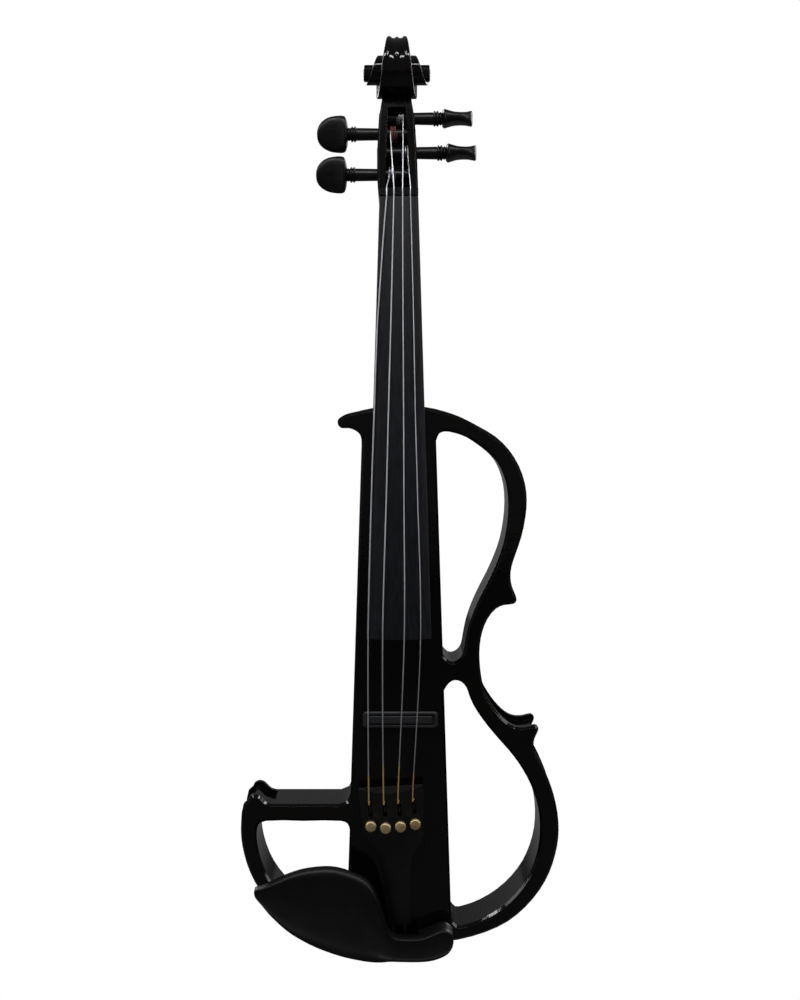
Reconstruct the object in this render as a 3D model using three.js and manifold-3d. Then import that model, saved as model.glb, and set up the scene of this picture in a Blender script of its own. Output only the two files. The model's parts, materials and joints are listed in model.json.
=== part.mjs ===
// Electric violin with an open skeleton body, integrated tailpiece tuners, a chin rest and built-in electronics.
// Millimetres. X points to the treble side, Y to the back and Z along the violin towards the scroll.
// The pieces are drawn from the body's front plane (Y 0) and its bottom edge (Z 0). The group at the end
// moves them so that the origin is in the middle of the throat, where the two prongs of a hanger hold the violin.
import * as THREE from "three";
import { mergeVertices } from "three/addons/utils/BufferGeometryUtils.js";
import Module from "manifold-3d";

const wasm = await Module();
wasm.setup();

// Overall sizes
const bodyLength = 346;
const bodyHalfWidth = 102.4;
const bodyDepth = 36;
const hangerHeight = 536;
const hangerDepth = 25;
const gap = 0.3;
const overrun = 5;
const turn = Math.PI * 2;

// Body
const edgeRound = 1.5;
const edgeRoundSteps = 1;
const plateThickness = 5;
const ribRecess = 3;
const spineHalfAtFoot = 33.6;
const spineHalfAtTop = 23.4;
const spineFootHeight = 20;
const armThickness = 11.2;
const armFillet = 7;
const hornDrop = 24;
const hornUnderside = bodyLength - hornDrop;

// Outer outline, shares of the body's half width and length: horn, upper bout, waist, lower bout, bottom
const outerShares = [
  [-0.229, 0.94], [-0.237, 0.949], [-0.262, 0.956], [-0.305, 0.961], [-0.348, 0.961], [-0.37, 0.966],
  [-0.373, 0.976], [-0.339, 0.984], [-0.273, 0.989], [-0.166, 0.996], [0, 1], [0.166, 0.998], [0.287, 0.99],
  [0.391, 0.979], [0.49, 0.964], [0.591, 0.946], [0.674, 0.922], [0.737, 0.892], [0.773, 0.861], [0.785, 0.831],
  [0.777, 0.798], [0.753, 0.763], [0.72, 0.733], [0.694, 0.709], [0.688, 0.69], [0.698, 0.672], [0.723, 0.654],
  [0.725, 0.645], [0.703, 0.64], [0.647, 0.638], [0.598, 0.631], [0.549, 0.613], [0.517, 0.59], [0.501, 0.564],
  [0.5, 0.535], [0.511, 0.506], [0.532, 0.478], [0.566, 0.459], [0.611, 0.44], [0.658, 0.425], [0.705, 0.415],
  [0.752, 0.411], [0.801, 0.412], [0.848, 0.415], [0.868, 0.41], [0.861, 0.401], [0.844, 0.39], [0.839, 0.378],
  [0.849, 0.365], [0.879, 0.349], [0.92, 0.323], [0.955, 0.296], [0.982, 0.266], [0.998, 0.234], [0.998, 0.202],
  [0.98, 0.171], [0.944, 0.137], [0.885, 0.104], [0.796, 0.071], [0.684, 0.043], [0.547, 0.023], [0.371, 0.008],
  [0.186, 0.002], [0, 0],
];
// How many of the last outline points the left lower bout mirrors, up to its horn, and how wide it is beside them
const mirroredPoints = 11;
const leftWidthShare = 0.989;
const leftHornShares = [
  [-0.945, 0.273], [-0.931, 0.281], [-0.903, 0.285], [-0.873, 0.283], [-0.85, 0.277], [-0.825, 0.27],
  [-0.79, 0.267],
];
const armTop = leftHornShares.at(-1)[1] * bodyLength;
// The open spaces beside the spine, in the same shares, without their spine side
const upperHoleShares = [
  [0.246, 0.951], [0.278, 0.955], [0.332, 0.953], [0.41, 0.945], [0.483, 0.931], [0.549, 0.916], [0.6, 0.9],
  [0.637, 0.879], [0.662, 0.853], [0.671, 0.821], [0.663, 0.785], [0.641, 0.75], [0.607, 0.72], [0.56, 0.688],
  [0.51, 0.659], [0.463, 0.628], [0.428, 0.597], [0.408, 0.567], [0.396, 0.549], [0.373, 0.539], [0.342, 0.534],
  [0.311, 0.535],
];
const lowerHoleShares = [
  [0.312, 0.494], [0.346, 0.499], [0.386, 0.496], [0.418, 0.486], [0.436, 0.471], [0.459, 0.455], [0.495, 0.437],
  [0.552, 0.414], [0.613, 0.392], [0.682, 0.369], [0.744, 0.345], [0.797, 0.319], [0.84, 0.291], [0.869, 0.261],
  [0.882, 0.227], [0.876, 0.192], [0.85, 0.159], [0.804, 0.127], [0.732, 0.097], [0.64, 0.071], [0.527, 0.05],
  [0.42, 0.038], [0.366, 0.036],
];
// How many of the last points of the lower right space the lower left one mirrors, and how wide it is beside them
const mirroredHolePoints = 8;
const leftHoleWidthShare = 1.012;

// Fingerboard and nut
const boardTop = 476;
const boardEnd = 202.7;
const boardHalfAtNut = 12;
const boardHalfAtEnd = 20.2;
const boardFrontAtNut = 1.2;
const boardFrontAtEnd = 22.6;
const boardCrownRadius = 42;
const boardEdge = 4.6;
const nutLength = 4.4;
const nutRise = 0.7;

// Neck, pegbox and scroll; depths are behind the front plane
const neckBackAtNut = 19.5;
const neckBackAtBody = 15;
const heelRise = 40;
const heelStart = bodyLength + heelRise;
const heelHalf = 12.2;
const heelInset = 2;
const mortiseDepth = 10;
const pegboxBottom = 481;
const pegboxTop = 536;
const pegboxHalfAtNut = 12.5;
// From the pegbox's bottom to its top: place and half width as shares
const pegboxHalfShares = [[0, 1], [0.4, 0.992], [0.8, 0.896], [1, 0.752]];
const pegboxFrontAtNut = 2.6;
const pegboxFrontAtThroat = 16.5;
const pegboxBackAtNut = 31;
const pegboxBackAtThroat = 33.5;
const pegboxBelly = 1.4;
const cavityHalfAtNut = 7.7;
const cavityHalfAtThroat = 5.4;
const cavityBottom = 481.3;
const cavityTop = 532.4;
const cavityFloor = 3.8;
const scrollCentreHeight = 553.6;
const scrollCentreDepth = 24;
const scrollTopRadius = 23.4;
const scrollEyeRadius = 4.4;
const scrollWidth = 42;
const scrollCorner = 0.9;
// Radius of the volute as a share of its radius at the top, and its width as a share of the scroll's width,
// for each quarter turn from the throat over the top and inwards
const voluteRadiusShares = [0.96, 0.98, 1, 0.93, 0.637, 0.573, 0.513, 0.37, 0.275, 0.27, 0.265];
const voluteWidthShares = [0.44, 0.34, 0.28, 0.44, 0.6, 0.6, 0.58, 0.76, 0.92, 0.96, 0.98];
const voluteStepsPerQuarter = 4;
const voluteOverlap = 1.6;

// Pegs, from the thumb inwards along the peg
const pegRadiusAtTip = 3.3;
const pegRadiusAtCollar = 3.95;
const pegCollarRadius = 4.7;
const pegCollarLength = 3.4;
const pegNeckLength = 1.8;
const pegThumbLength = 19.5;
const pegThumbHalfWidth = 11.4;
const pegThumbHalfThickness = 5.6;
const pegTipProud = 0.2;
const pegSides = 16;
// Along the thumb from its shaft side to its outer end: place, half width and half thickness as shares
const thumbShares = [
  [0, 0.3, 0.52], [0.03, 0.62, 0.8], [0.09, 0.92, 1], [0.2, 1, 0.9], [0.38, 0.99, 0.72], [0.58, 0.93, 0.63],
  [0.76, 0.79, 0.66], [0.89, 0.6, 0.76], [0.97, 0.38, 0.84], [1, 0.16, 0.62],
];
// Distance from the middle to the thumb of the furthest peg
const pegReach = 32.5;
// Each string's peg: side of the thumb, then the height of its axis between the pegbox's ends, its depth between
// the pegbox's faces, its reach, and where the winding starts beside the middle, all as shares
const pegShares = {
  g: [-1, 0.18, 0.5373, 1, 0.805],
  d: [-1, 0.6473, 0.6567, 0.985, 0.675],
  a: [1, 0.8291, 0.7164, 0.828, 0.35],
  e: [1, 0.4309, 0.597, 0.8985, 0.727],
};
const stringDiameters = { g: 0.85, d: 0.8, a: 0.7, e: 0.6 };
const pegs = Object.entries(pegShares).map(([name, [side, high, deep, reach, start]]) => ({
  name,
  side,
  height: pegboxBottom + high * (pegboxTop - pegboxBottom),
  depth: deep * pegboxBackAtThroat,
  reach: reach * pegReach,
  diameter: stringDiameters[name],
  windingStart: start * cavityHalfAtNut,
}));
const windingTurns = 3;
const windingPitch = 1.3;
const windingSteps = 24;
const stringSides = 6;

// Where the slack strings cross the nut, as shares of its half width, and where they lie along the board
const nutSideShares = { g: -0.625, d: -0.2583, a: 0.1917, e: 0.5917 };
const stringRoutes = {
  g: [[447, -9.8], [411, -12.3], [393, -13.4], [340, -15.3], [292, -16.9], [204, -19]],
  d: [[411, -4.6], [340, -6.5], [292, -7.7], [204, -10]],
  a: [[411, 2.5], [340, 2.9], [292, 3.1], [204, 3.3]],
  e: [[411, 8.8], [340, 10.2], [292, 11.5], [204, 13.4]],
};

// Tailpiece, drawn straight and then turned towards the bass side
const tailTilt = 0.061;
const tailPivotHeight = 16;
const tailPivotSide = 0.5;
const tailLength = 91;
const tailHalfAtTop = 20.4;
// Along the tailpiece from its foot: place and half width as shares
const tailShares = [
  [0, 0.36], [0.06, 0.385], [0.22, 0.41], [0.42, 0.435], [0.5, 0.53], [0.555, 0.69], [0.6, 0.83], [0.65, 0.91],
  [0.78, 0.96], [0.95, 1], [1, 1],
];
const tailFrontAtTop = 15.2;
const tailFrontAtFoot = 9;
const tailCrown = 4.6;
const tailSkirt = 3;
const tailWall = 2.4;
const tailSideWall = 0.9;
const tailHollowFrom = 55;
const tunerHeight = 68.5;
const tunerSpacing = 9.3;
const tunerSlotHeight = 78.5;
const tunerSlotLength = 11;
const tunerSlotWidth = 2.4;
const tunerLeverWidth = 1.2;
const tunerScrewRadius = 1.2;
const tunerHeadRadius = 3.3;
const tunerHeadLength = 3.6;
const tunerHeadRise = 2.6;

// Parts at the bottom edge
const saddleHalf = 11.5;
const saddleWidth = 6;
const saddleHeight = 3.2;
const endpinDepth = 18;
const endpinShaftRadius = 3.8;
const endpinShaftLength = 18;
const endpinKnobRadius = 6.6;
const endpinKnobLength = 11;
const tailgutRadius = 1.05;
const tailgutSteps = 36;

// Pickup in front of the spine, where the feet of a bridge would stand
const pickupHeight = 148;
const pickupSide = 1;
const pickupLength = 47.6;
const pickupWidth = 10.8;
const pickupRise = 3;
const pickupBarLength = 40.5;
const pickupBarWidth = 5;
const pickupGroove = 1;

// Chin rest
const chinSeat = 2.3;
const chinPlate = 8.5;
const chinRimFront = 27;
const chinHalfLength = 62;
const chinMiddle = -27.6;
const chinBreadth = 65;
const chinDrop = 4;
const chinBackLow = 0.6;
const chinDish = 4.5;
const chinTailRoom = 11;
// Along the chin rest from the left tip to the right end: place, lower edge, upper edge, front as shares
const chinShares = [
  [-1, 0.745, 0.775, 0.92], [-0.985, 0.71, 0.795, 0.97], [-0.93, 0.64, 0.82, 1], [-0.84, 0.53, 0.857, 1],
  [-0.69, 0.395, 0.915, 1], [-0.54, 0.295, 0.96, 1], [-0.38, 0.213, 0.985, 1], [-0.22, 0.15, 0.989, 1],
  [-0.07, 0.099, 0.953, 1], [0.08, 0.069, 0.89, 1], [0.17, 0.058, 0.805, 0.98], [0.235, 0.05, 0.67, 0.94],
  [0.275, 0.045, 0.53, 0.89], [0.306, 0.04, 0.43, 0.84], [0.336, 0.035, 0.345, 0.79], [0.38, 0.028, 0.275, 0.74],
  [0.44, 0.018, 0.247, 0.71], [0.68, 0.008, 0.247, 0.7], [0.775, 0.018, 0.3, 0.68], [0.875, 0.038, 0.368, 0.64],
  [0.92, 0.06, 0.352, 0.62], [0.96, 0.095, 0.32, 0.6], [0.99, 0.14, 0.28, 0.55], [1, 0.2, 0.24, 0.48],
];
// Where the plate begins to reach back to the body, and where its arm does, along it as shares
const chinSeatedShares = [-0.55, -0.2];
const chinArmShares = [0.3, 0.44];
const chinCork = 1.7;
const chinPadHeight = 8;
const chinPadWidth = 8;
const chinPadCorner = 1;
// Where the two pads begin and end, as shares of the clamps' distance from the middle
const chinPadShares = { left: [-2.2, -0.87], right: [0.94, 1.94] };
const clampSpacing = 15.5;
const clampOffset = 5;
const clampRodRadius = 1.4;
const clampBarrelRadius = 3.1;
const clampBarrelLength = 15;
const clampBarrelSides = 6;
const clampFootThickness = 2.6;
const clampFootDepth = 15;
const clampHookFront = 8;
const clampBite = 4;

// Electronics in the back of the spine
const baySideClearance = 1;
const batteryLength = 48.5;
const batteryWidth = 26.5;
const batteryThickness = 17.5;
const batteryCorner = 1;
const batteryContactSize = 6;
const bayDrop = 43.75;
const bayEndRoom = 3;
const doorThickness = 2;
const doorMargin = 3;
const doorCorner = 1;
const doorHingeRadius = 1.3;
const doorNotchDepth = 4;
const doorNotchLength = 12;
const panelDrop = 22.75;
const panelHalfWidth = 18;
const panelHalfLength = 33;
const panelThickness = 2;
const panelCorner = 2;
const pocketDepth = 16;
const pocketMargin = 3.5;
const circuitThickness = 1.6;
const knobRadius = 8;
const knobLength = 9;
const knobSpacing = 22;
const knobRibs = 12;
const knobChamfer = 1;
const knobPointerWidth = 1;
const potShaftRadius = 3;
const switchTravel = 4;
const switchWidth = 4;
const switchLength = 6;
const switchRise = 1.4;
const switchRibSpacing = 1.6;
const jackRadius = 6.5;
const jackBoreRadius = 3.3;
const miniJackRadius = 4.6;
const miniJackBoreRadius = 2.05;
const jackDrop = 43;
const jackSpacing = 24;
const jackLength = 20;
const jackFlange = 1.6;
const jackFlangeStep = 2.6;
const roundSides = 20;
const smallSides = 12;

// Materials
const paint = (color, roughness, metalness) => new THREE.MeshStandardMaterial({
  color,
  roughness,
  metalness,
});
const lacquer = () => paint(0x060607, 0.08, 0);
const ebony = () => paint(0x17181b, 0.45, 0);
const blackPlastic = () => paint(0x101113, 0.5, 0);
const steel = () => paint(0xc8c9cb, 0.25, 1);
const brass = () => paint(0xb9975b, 0.3, 1);
const cork = () => paint(0xa87c4f, 0.9, 0);

const mix = (a, b, share) => a + (b - a) * share;
const sum = (list) => list.reduce((total, value) => total + value, 0);
const point = (x, y, z) => new THREE.Vector3(x, y, z);

// Turns a list of corner points and triangles into a closed solid with its faces pointing out
function solidFrom(corners, triangles) {
  const geometry = new THREE.BufferGeometry();
  const places = corners.flatMap((c) => [c.x, c.y, c.z]);
  geometry.setAttribute("position", new THREE.Float32BufferAttribute(places, 3));
  geometry.setIndex(triangles.flat());
  return solid(geometry);
}

// A solid for joining and cutting, from any closed three.js geometry
function solid(geometry) {
  const bare = geometry.clone();
  bare.deleteAttribute("normal");
  bare.deleteAttribute("uv");
  const merged = mergeVertices(bare);
  const places = merged.attributes.position;
  const index = merged.index.array;
  const faces = [];
  let volume = 0;
  for (let i = 0; i < index.length; i += 3) {
    const [a, b, c] = [index[i], index[i + 1], index[i + 2]];
    if (a === b || b === c || c === a) continue;
    const [p, q, r] = [a, b, c].map((k) => new THREE.Vector3().fromBufferAttribute(places, k));
    volume += p.dot(q.cross(r));
    faces.push([a, b, c]);
  }
  const outward = volume > 0 ? faces : faces.map(([a, b, c]) => [a, c, b]);
  return new wasm.Manifold(new wasm.Mesh({
    numProp: 3,
    vertProperties: new Float32Array(places.array),
    triVerts: new Uint32Array(outward.flat()),
  }));
}

const unite = (solids) => solids.reduce((whole, piece) => whole.add(piece));
const cutAll = (whole, cutters) => cutters.reduce((rest, cutter) => rest.subtract(cutter), whole);

// The mesh of one piece of the violin
function piece(name, material, body) {
  const cut = body.getMesh();
  const geometry = new THREE.BufferGeometry();
  geometry.setAttribute("position", new THREE.BufferAttribute(new Float32Array(cut.vertProperties), 3));
  geometry.setIndex(new THREE.BufferAttribute(new Uint32Array(cut.triVerts), 1));
  geometry.computeVertexNormals();
  const mesh = new THREE.Mesh(geometry, material);
  mesh.name = name;
  return mesh;
}

// A closed skin through rings of as many points each, closed by a fan at both ends
function loft(rings) {
  const count = rings[0].length;
  const corners = rings.flat();
  const triangles = [];
  for (let r = 0; r + 1 < rings.length; r += 1) {
    for (let k = 0; k < count; k += 1) {
      const next = (k + 1) % count;
      const low = r * count;
      const high = low + count;
      triangles.push([low + k, low + next, high + next], [low + k, high + next, high + k]);
    }
  }
  for (const [ring, start, flip] of [[rings[0], 0, true], [rings.at(-1), corners.length - count, false]]) {
    const middle = corners.length;
    corners.push(ring.reduce((total, p) => total.add(p), point(0, 0, 0)).divideScalar(count));
    for (let k = 0; k < count; k += 1) {
      const next = (k + 1) % count;
      triangles.push(flip ? [middle, start + next, start + k] : [middle, start + k, start + next]);
    }
  }
  return solidFrom(corners, triangles);
}

// A box between two corners
function box(low, high) {
  const size = high.clone().sub(low);
  const geometry = new THREE.BoxGeometry(size.x, size.y, size.z);
  geometry.translate(...low.clone().add(high).divideScalar(2).toArray());
  return solid(geometry);
}

// A turned body along an axis: profile pairs are [distance along the axis, radius]
function turned(profile, base, axis, sides = roundSides) {
  const outline = [[profile[0][0], 0], ...profile, [profile.at(-1)[0], 0]];
  const points = outline.map(([along, radius]) => new THREE.Vector2(radius, along));
  const geometry = new THREE.LatheGeometry(points, sides);
  geometry.applyQuaternion(new THREE.Quaternion().setFromUnitVectors(point(0, 1, 0), axis));
  geometry.translate(base.x, base.y, base.z);
  return solid(geometry);
}

const rod = (base, axis, length, radius, sides) =>
  turned([[0, radius], [length, radius]], base, axis, sides);

// A round tube along a curve, with its ends square to it
function tube(curve, steps, radius, sides = stringSides) {
  const section = new THREE.Shape();
  for (let k = 0; k < sides; k += 1) {
    const angle = (turn * k) / sides;
    section[k ? "lineTo" : "moveTo"](radius * Math.cos(angle), radius * Math.sin(angle));
  }
  section.closePath();
  return solid(new THREE.ExtrudeGeometry(section, { steps, extrudePath: curve, bevelEnabled: false }));
}

// A flat slab from front to back, drawn in X and Z, with rounded edges where a round is given
function slab(outline, holes, front, back, round = 0) {
  const corners = outline.map(([x, z]) => new THREE.Vector2(x, z));
  const shape = new THREE.Shape(THREE.ShapeUtils.isClockWise(corners) ? corners.reverse() : corners);
  shape.holes = holes.map((hole) => new THREE.Path(hole.map(([x, z]) => new THREE.Vector2(x, z))));
  const geometry = new THREE.ExtrudeGeometry(shape, {
    depth: back - front - 2 * round,
    bevelEnabled: round > 0,
    bevelThickness: round,
    bevelSize: round,
    bevelOffset: -round,
    bevelSegments: edgeRoundSteps,
    steps: 1,
  });
  geometry.rotateX(Math.PI / 2);
  geometry.translate(0, back - round, 0);
  return solid(geometry);
}

// A slab that is drawn in Y and Z and reaches across from one X to another
function crosswise(outline, from, to) {
  const shape = new THREE.Shape(outline.map(([y, z]) => new THREE.Vector2(y, z)));
  const geometry = new THREE.ExtrudeGeometry(shape, { depth: to - from, bevelEnabled: false, steps: 1 });
  geometry.applyMatrix4(new THREE.Matrix4().makeBasis(point(0, 1, 0), point(0, 0, 1), point(1, 0, 0)));
  geometry.translate(from, 0, 0);
  return solid(geometry);
}

// A rectangle with round corners, as outline points around a middle
function roundedRectangle(middleX, middleZ, width, height, radius, steps = 2) {
  const points = [];
  for (let corner = 0; corner < 4; corner += 1) {
    const sideX = corner === 0 || corner === 3 ? 1 : -1;
    const sideZ = corner < 2 ? 1 : -1;
    for (let k = 0; k <= steps; k += 1) {
      const angle = (turn / 4) * (corner + k / steps);
      points.push([
        middleX + sideX * (width / 2 - radius) + radius * Math.cos(angle),
        middleZ + sideZ * (height / 2 - radius) + radius * Math.sin(angle),
      ]);
    }
  }
  return points;
}

// Points on a smooth curve through the given points
function smooth(points, stepsPerSpan) {
  const curve = new THREE.CatmullRomCurve3(points.map(([x, z]) => point(x, 0, z)), false, "centripetal");
  return curve.getPoints((points.length - 1) * stepsPerSpan).map((p) => [p.x, p.z]);
}

// The outline moved inwards, without the points that would come nearer to it than that
function inset(outline, distance) {
  const area = sum(outline.map(([x, z], k) => {
    const [nextX, nextZ] = outline[(k + 1) % outline.length];
    return x * nextZ - nextX * z;
  }));
  const side = Math.sign(area) * distance;
  const moved = outline.map(([x, z], k) => {
    const before = outline[(k + outline.length - 1) % outline.length];
    const after = outline[(k + 1) % outline.length];
    const along = new THREE.Vector2(after[0] - before[0], after[1] - before[1]).normalize();
    return [x - along.y * side, z + along.x * side];
  });
  const nearest = ([x, z]) => Math.min(...outline.map(([ox, oz]) => Math.hypot(x - ox, z - oz)));
  const keep = 0.97 * distance;
  return moved.filter((p) => nearest(p) > keep);
}

const inBody = ([x, z]) => [x * bodyHalfWidth, z * bodyLength];
const mirrored = (share) => ([x, z]) => [-x * share, z];
const spineHalf = (height) => mix(spineHalfAtFoot, spineHalfAtTop,
  (height - spineFootHeight) / (hornUnderside - spineFootHeight));

// Body
function bodyOutline() {
  const right = outerShares.map(inBody);
  const left = right.slice(-mirroredPoints - 1, -1).reverse().map(mirrored(leftWidthShare));
  const horn = leftHornShares.map(inBody);
  const armEnd = [-spineHalf(armTop) - armFillet, armTop];
  const armCorner = [-spineHalf(armTop + armFillet), armTop + armFillet];
  const bend = [mix(armEnd[0], armCorner[0], 0.7), mix(armEnd[1], armCorner[1], 0.3)];
  const spineEdge = [-spineHalf(hornUnderside), hornUnderside];
  const curved = smooth([...right, ...left, ...horn], 2);
  return [...curved, armEnd, bend, armCorner, spineEdge];
}

function rightHole(shares) {
  const points = shares.map(inBody);
  const [firstHeight, lastHeight] = [points[0][1], points.at(-1)[1]];
  const inner = mix(firstHeight, lastHeight, 0.03);
  const outer = mix(firstHeight, lastHeight, 0.97);
  const ends = [[spineHalf(outer), outer], [spineHalf(inner), inner]];
  return smooth([ends[1], ...points, ends[0]], 2);
}

function leftHole() {
  const points = lowerHoleShares.map(inBody);
  const foot = points.slice(-mirroredHolePoints).map(mirrored(leftHoleWidthShare)).reverse();
  const roof = armTop - armThickness;
  const corner = armFillet * 0.8;
  const wall = foot.at(-1)[0];
  const spine = -spineHalf(roof);
  const outline = [
    ...foot, [wall - corner * 0.05, roof - corner * 1.3], [wall + corner * 0.15, roof - corner * 0.4],
    [wall + corner, roof], [mix(wall, spine, 0.5), roof], [spine - corner, roof],
    [spine - corner * 0.25, roof - corner * 0.3], [spine, roof - corner],
  ];
  const floor = foot[0][1];
  return [...smooth(outline, 2), [-spineHalf(floor + corner), floor + corner]];
}

function bodyFrame() {
  const outline = bodyOutline();
  const holes = [rightHole(upperHoleShares), rightHole(lowerHoleShares), leftHole()];
  const whole = slab(outline, holes, 0, bodyDepth, edgeRound);
  const channel = box(point(-2 * bodyHalfWidth, plateThickness, -overrun),
    point(2 * bodyHalfWidth, bodyDepth - plateThickness, bodyLength + overrun));
  const core = slab(inset(outline, ribRecess), [], 0, bodyDepth);
  const plainSide = box(point(-0.78 * bodyHalfWidth, 0, armTop - armThickness),
    point(0, bodyDepth, hornUnderside + ribRecess));
  return cutAll(whole, [channel.subtract(core).subtract(plainSide), ...bodyPockets()]);
}

// Everything that is let into the body, each with its own clearance
function bodyPockets() {
  const mortise = box(point(-heelHalf - gap, -overrun, bodyLength - mortiseDepth - gap),
    point(heelHalf + gap, bodyDepth + overrun, bodyLength + overrun));
  const bay = box(
    point(-bayHalfWidth, bodyDepth - bayDepth, bayHeight - bayHalfLength),
    point(bayHalfWidth, bodyDepth + overrun, bayHeight + bayHalfLength));
  const doorSeat = box(
    point(-doorHalfWidth - gap, bodyDepth - doorThickness - gap, bayHeight - doorHalfLength - gap),
    point(doorHalfWidth + gap, bodyDepth + overrun, bayHeight + doorHalfLength + gap));
  const hinge = 2 * doorHingeRadius;
  const hingeSeat = box(
    point(-doorHalfWidth - hinge, bodyDepth - hinge - gap, bayHeight - doorHalfLength - gap),
    point(-doorHalfWidth + hinge, bodyDepth + overrun, bayHeight + doorHalfLength + gap));
  const panelSeat = box(
    point(-panelHalfWidth - gap, bodyDepth - panelThickness - gap, panelHeight - panelHalfLength - gap),
    point(panelHalfWidth + gap, bodyDepth + overrun, panelHeight + panelHalfLength + gap));
  const pocket = box(
    point(-panelHalfWidth + pocketMargin, bodyDepth - pocketDepth, panelHeight - panelHalfLength + pocketMargin),
    point(panelHalfWidth - pocketMargin, bodyDepth, panelHeight + panelHalfLength - pocketMargin));
  const pin = rod(point(0, endpinDepth, -overrun), point(0, 0, 1), endpinShaftLength + overrun,
    endpinShaftRadius + gap);
  return [mortise, bay, doorSeat, hingeSeat, panelSeat, pocket, pin, ...jackSeats()];
}

// Fingerboard and nut
const boardShare = (height) => (boardTop - height) / (boardTop - boardEnd);
const boardHalf = (height) => mix(boardHalfAtNut, boardHalfAtEnd, boardShare(height));
const crownDrop = (x) => boardCrownRadius - Math.sqrt(boardCrownRadius ** 2 - x ** 2);
const boardFront = (height) => mix(boardFrontAtNut, boardFrontAtEnd, boardShare(height));
const boardUnder = (height) => boardFront(height) - crownDrop(boardHalf(height)) - boardEdge;
const stringBed = (x, height) => -boardFront(height) + crownDrop(x);
const nutSide = (name) => nutSideShares[name] * boardHalfAtNut;

function crownedRing(height, half, front, under, steps = 8) {
  const top = Array.from({ length: steps + 1 }, (unused, k) => {
    const x = mix(-half, half, k / steps);
    return point(x, -front + crownDrop(x), height);
  });
  return [...top, point(half, -under, height), point(-half, -under, height)];
}

function fingerboard() {
  return loft([boardEnd, boardTop - gap].map((height) =>
    crownedRing(height, boardHalf(height), boardFront(height), boardUnder(height))));
}

function nut() {
  const [low, high] = [boardTop, boardTop + nutLength];
  const front = boardFront(low) + nutRise;
  const blank = loft([low, high].map((height) => crownedRing(height, boardHalfAtNut, front, boardUnder(boardTop))));
  const grooves = pegs.map(({ name, diameter }) => {
    const x = nutSide(name);
    const bed = -front + crownDrop(x) + diameter / 2;
    return box(point(x - diameter, bed - overrun, low - nutLength), point(x + diameter, bed, high + nutLength));
  });
  return cutAll(blank, grooves);
}

// Neck, pegbox and scroll
function neckRing(height, half, front, back, squareness) {
  const steps = 14;
  const ring = [];
  for (let k = 0; k <= steps; k += 1) {
    const angle = (Math.PI * k) / steps;
    const [c, s] = [Math.cos(angle), Math.sin(angle)];
    const bulge = (Math.abs(c) ** squareness + Math.abs(s) ** squareness) ** (-1 / squareness);
    ring.push(point(half * c * bulge, mix(front, back, s * bulge), height));
  }
  return ring;
}

function neck() {
  const seat = (height) => -boardUnder(height) + gap;
  const heel = bodyLength - mortiseDepth;
  const rise = heelStart - bodyLength;
  const back = (height) => mix(neckBackAtBody, neckBackAtNut, (height - heelStart) / (boardTop - heelStart));
  const heelBack = (share) => mix(neckBackAtBody, bodyDepth, share);
  const stations = [
    [heel, heelHalf, bodyDepth - gap, 6], [bodyLength + rise * 0.06, heelHalf, bodyDepth - gap, 5],
    [bodyLength + rise * 0.12, heelHalf, heelBack(0.93), 4], [bodyLength + rise * 0.22, heelHalf, heelBack(0.72), 3],
    [bodyLength + rise * 0.36, heelHalf + 0.5 * gap, heelBack(0.42), 2.4],
    [bodyLength + rise * 0.6, boardHalf(bodyLength) - heelInset, heelBack(0.13), 2.1],
    [heelStart, boardHalf(heelStart) - gap, neckBackAtBody, 2],
    [mix(heelStart, boardTop, 0.5), boardHalf(mix(heelStart, boardTop, 0.5)) - gap,
      back(mix(heelStart, boardTop, 0.5)), 2],
    [boardTop - nutLength * 2, boardHalfAtNut, neckBackAtNut, 2],
    [boardTop + nutLength + gap, pegboxHalfAtNut, mix(neckBackAtNut, pegboxBackAtNut, 0.4), 3],
  ];
  return loft(stations.map(([height, half, depth, squareness]) =>
    neckRing(height, half, seat(Math.min(height, boardTop + nutLength)), depth, squareness)));
}

const pegboxShare = (height) => (height - pegboxBottom) / (pegboxTop - pegboxBottom);

// The value at a place between the stations of a list of pairs
function between(stations, place) {
  const next = stations.findIndex(([share]) => share >= place);
  if (next === 0) return stations[0][1];
  if (next < 0) return stations.at(-1)[1];
  const [[low, from], [high, to]] = [stations[next - 1], stations[next]];
  return mix(from, to, (place - low) / (high - low));
}

const pegboxHalf = (share) => pegboxHalfAtNut * between(pegboxHalfShares, share);

function pegboxRing(height, half, front, back) {
  const corner = half * 0.22;
  return [point(half - corner * 0.4, front, height), point(half, front + corner * 0.4, height),
    point(half, back - corner, height), point(half - corner, back, height),
    point(-half + corner, back, height), point(-half, back - corner, height),
    point(-half, front + corner * 0.4, height), point(-half + corner * 0.4, front, height)];
}

function pegbox() {
  const front = (share) => mix(pegboxFrontAtNut, pegboxFrontAtThroat, share);
  const backCurve = (share) => mix(pegboxBackAtNut, pegboxBackAtThroat, share)
    + pegboxBelly * Math.sin(Math.PI * share);
  const shares = [0.2, 0.4, 0.6, 0.8, 1, 1.12];
  const outside = loft([boardTop + nutLength + gap, ...shares.map((s) => mix(pegboxBottom, pegboxTop, s))]
    .map((height) => {
      const share = pegboxShare(height);
      return pegboxRing(height, pegboxHalf(share), front(share), backCurve(Math.max(0, share)));
    }));
  const cavity = loft([cavityBottom, mix(cavityBottom, cavityTop, 0.5), cavityTop].map((height) => {
    const share = pegboxShare(height);
    const side = mix(cavityHalfAtNut, cavityHalfAtThroat, share);
    return pegboxRing(height, side, front(share) - overrun, backCurve(share) - cavityFloor);
  }));
  const bores = pegs.map((peg) => rod(point(-pegboxHalfAtNut - overrun, peg.depth, peg.height), point(1, 0, 0),
    2 * (pegboxHalfAtNut + overrun), pegRadiusAtCollar + gap));
  return { outside, cavity, bores };
}

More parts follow.
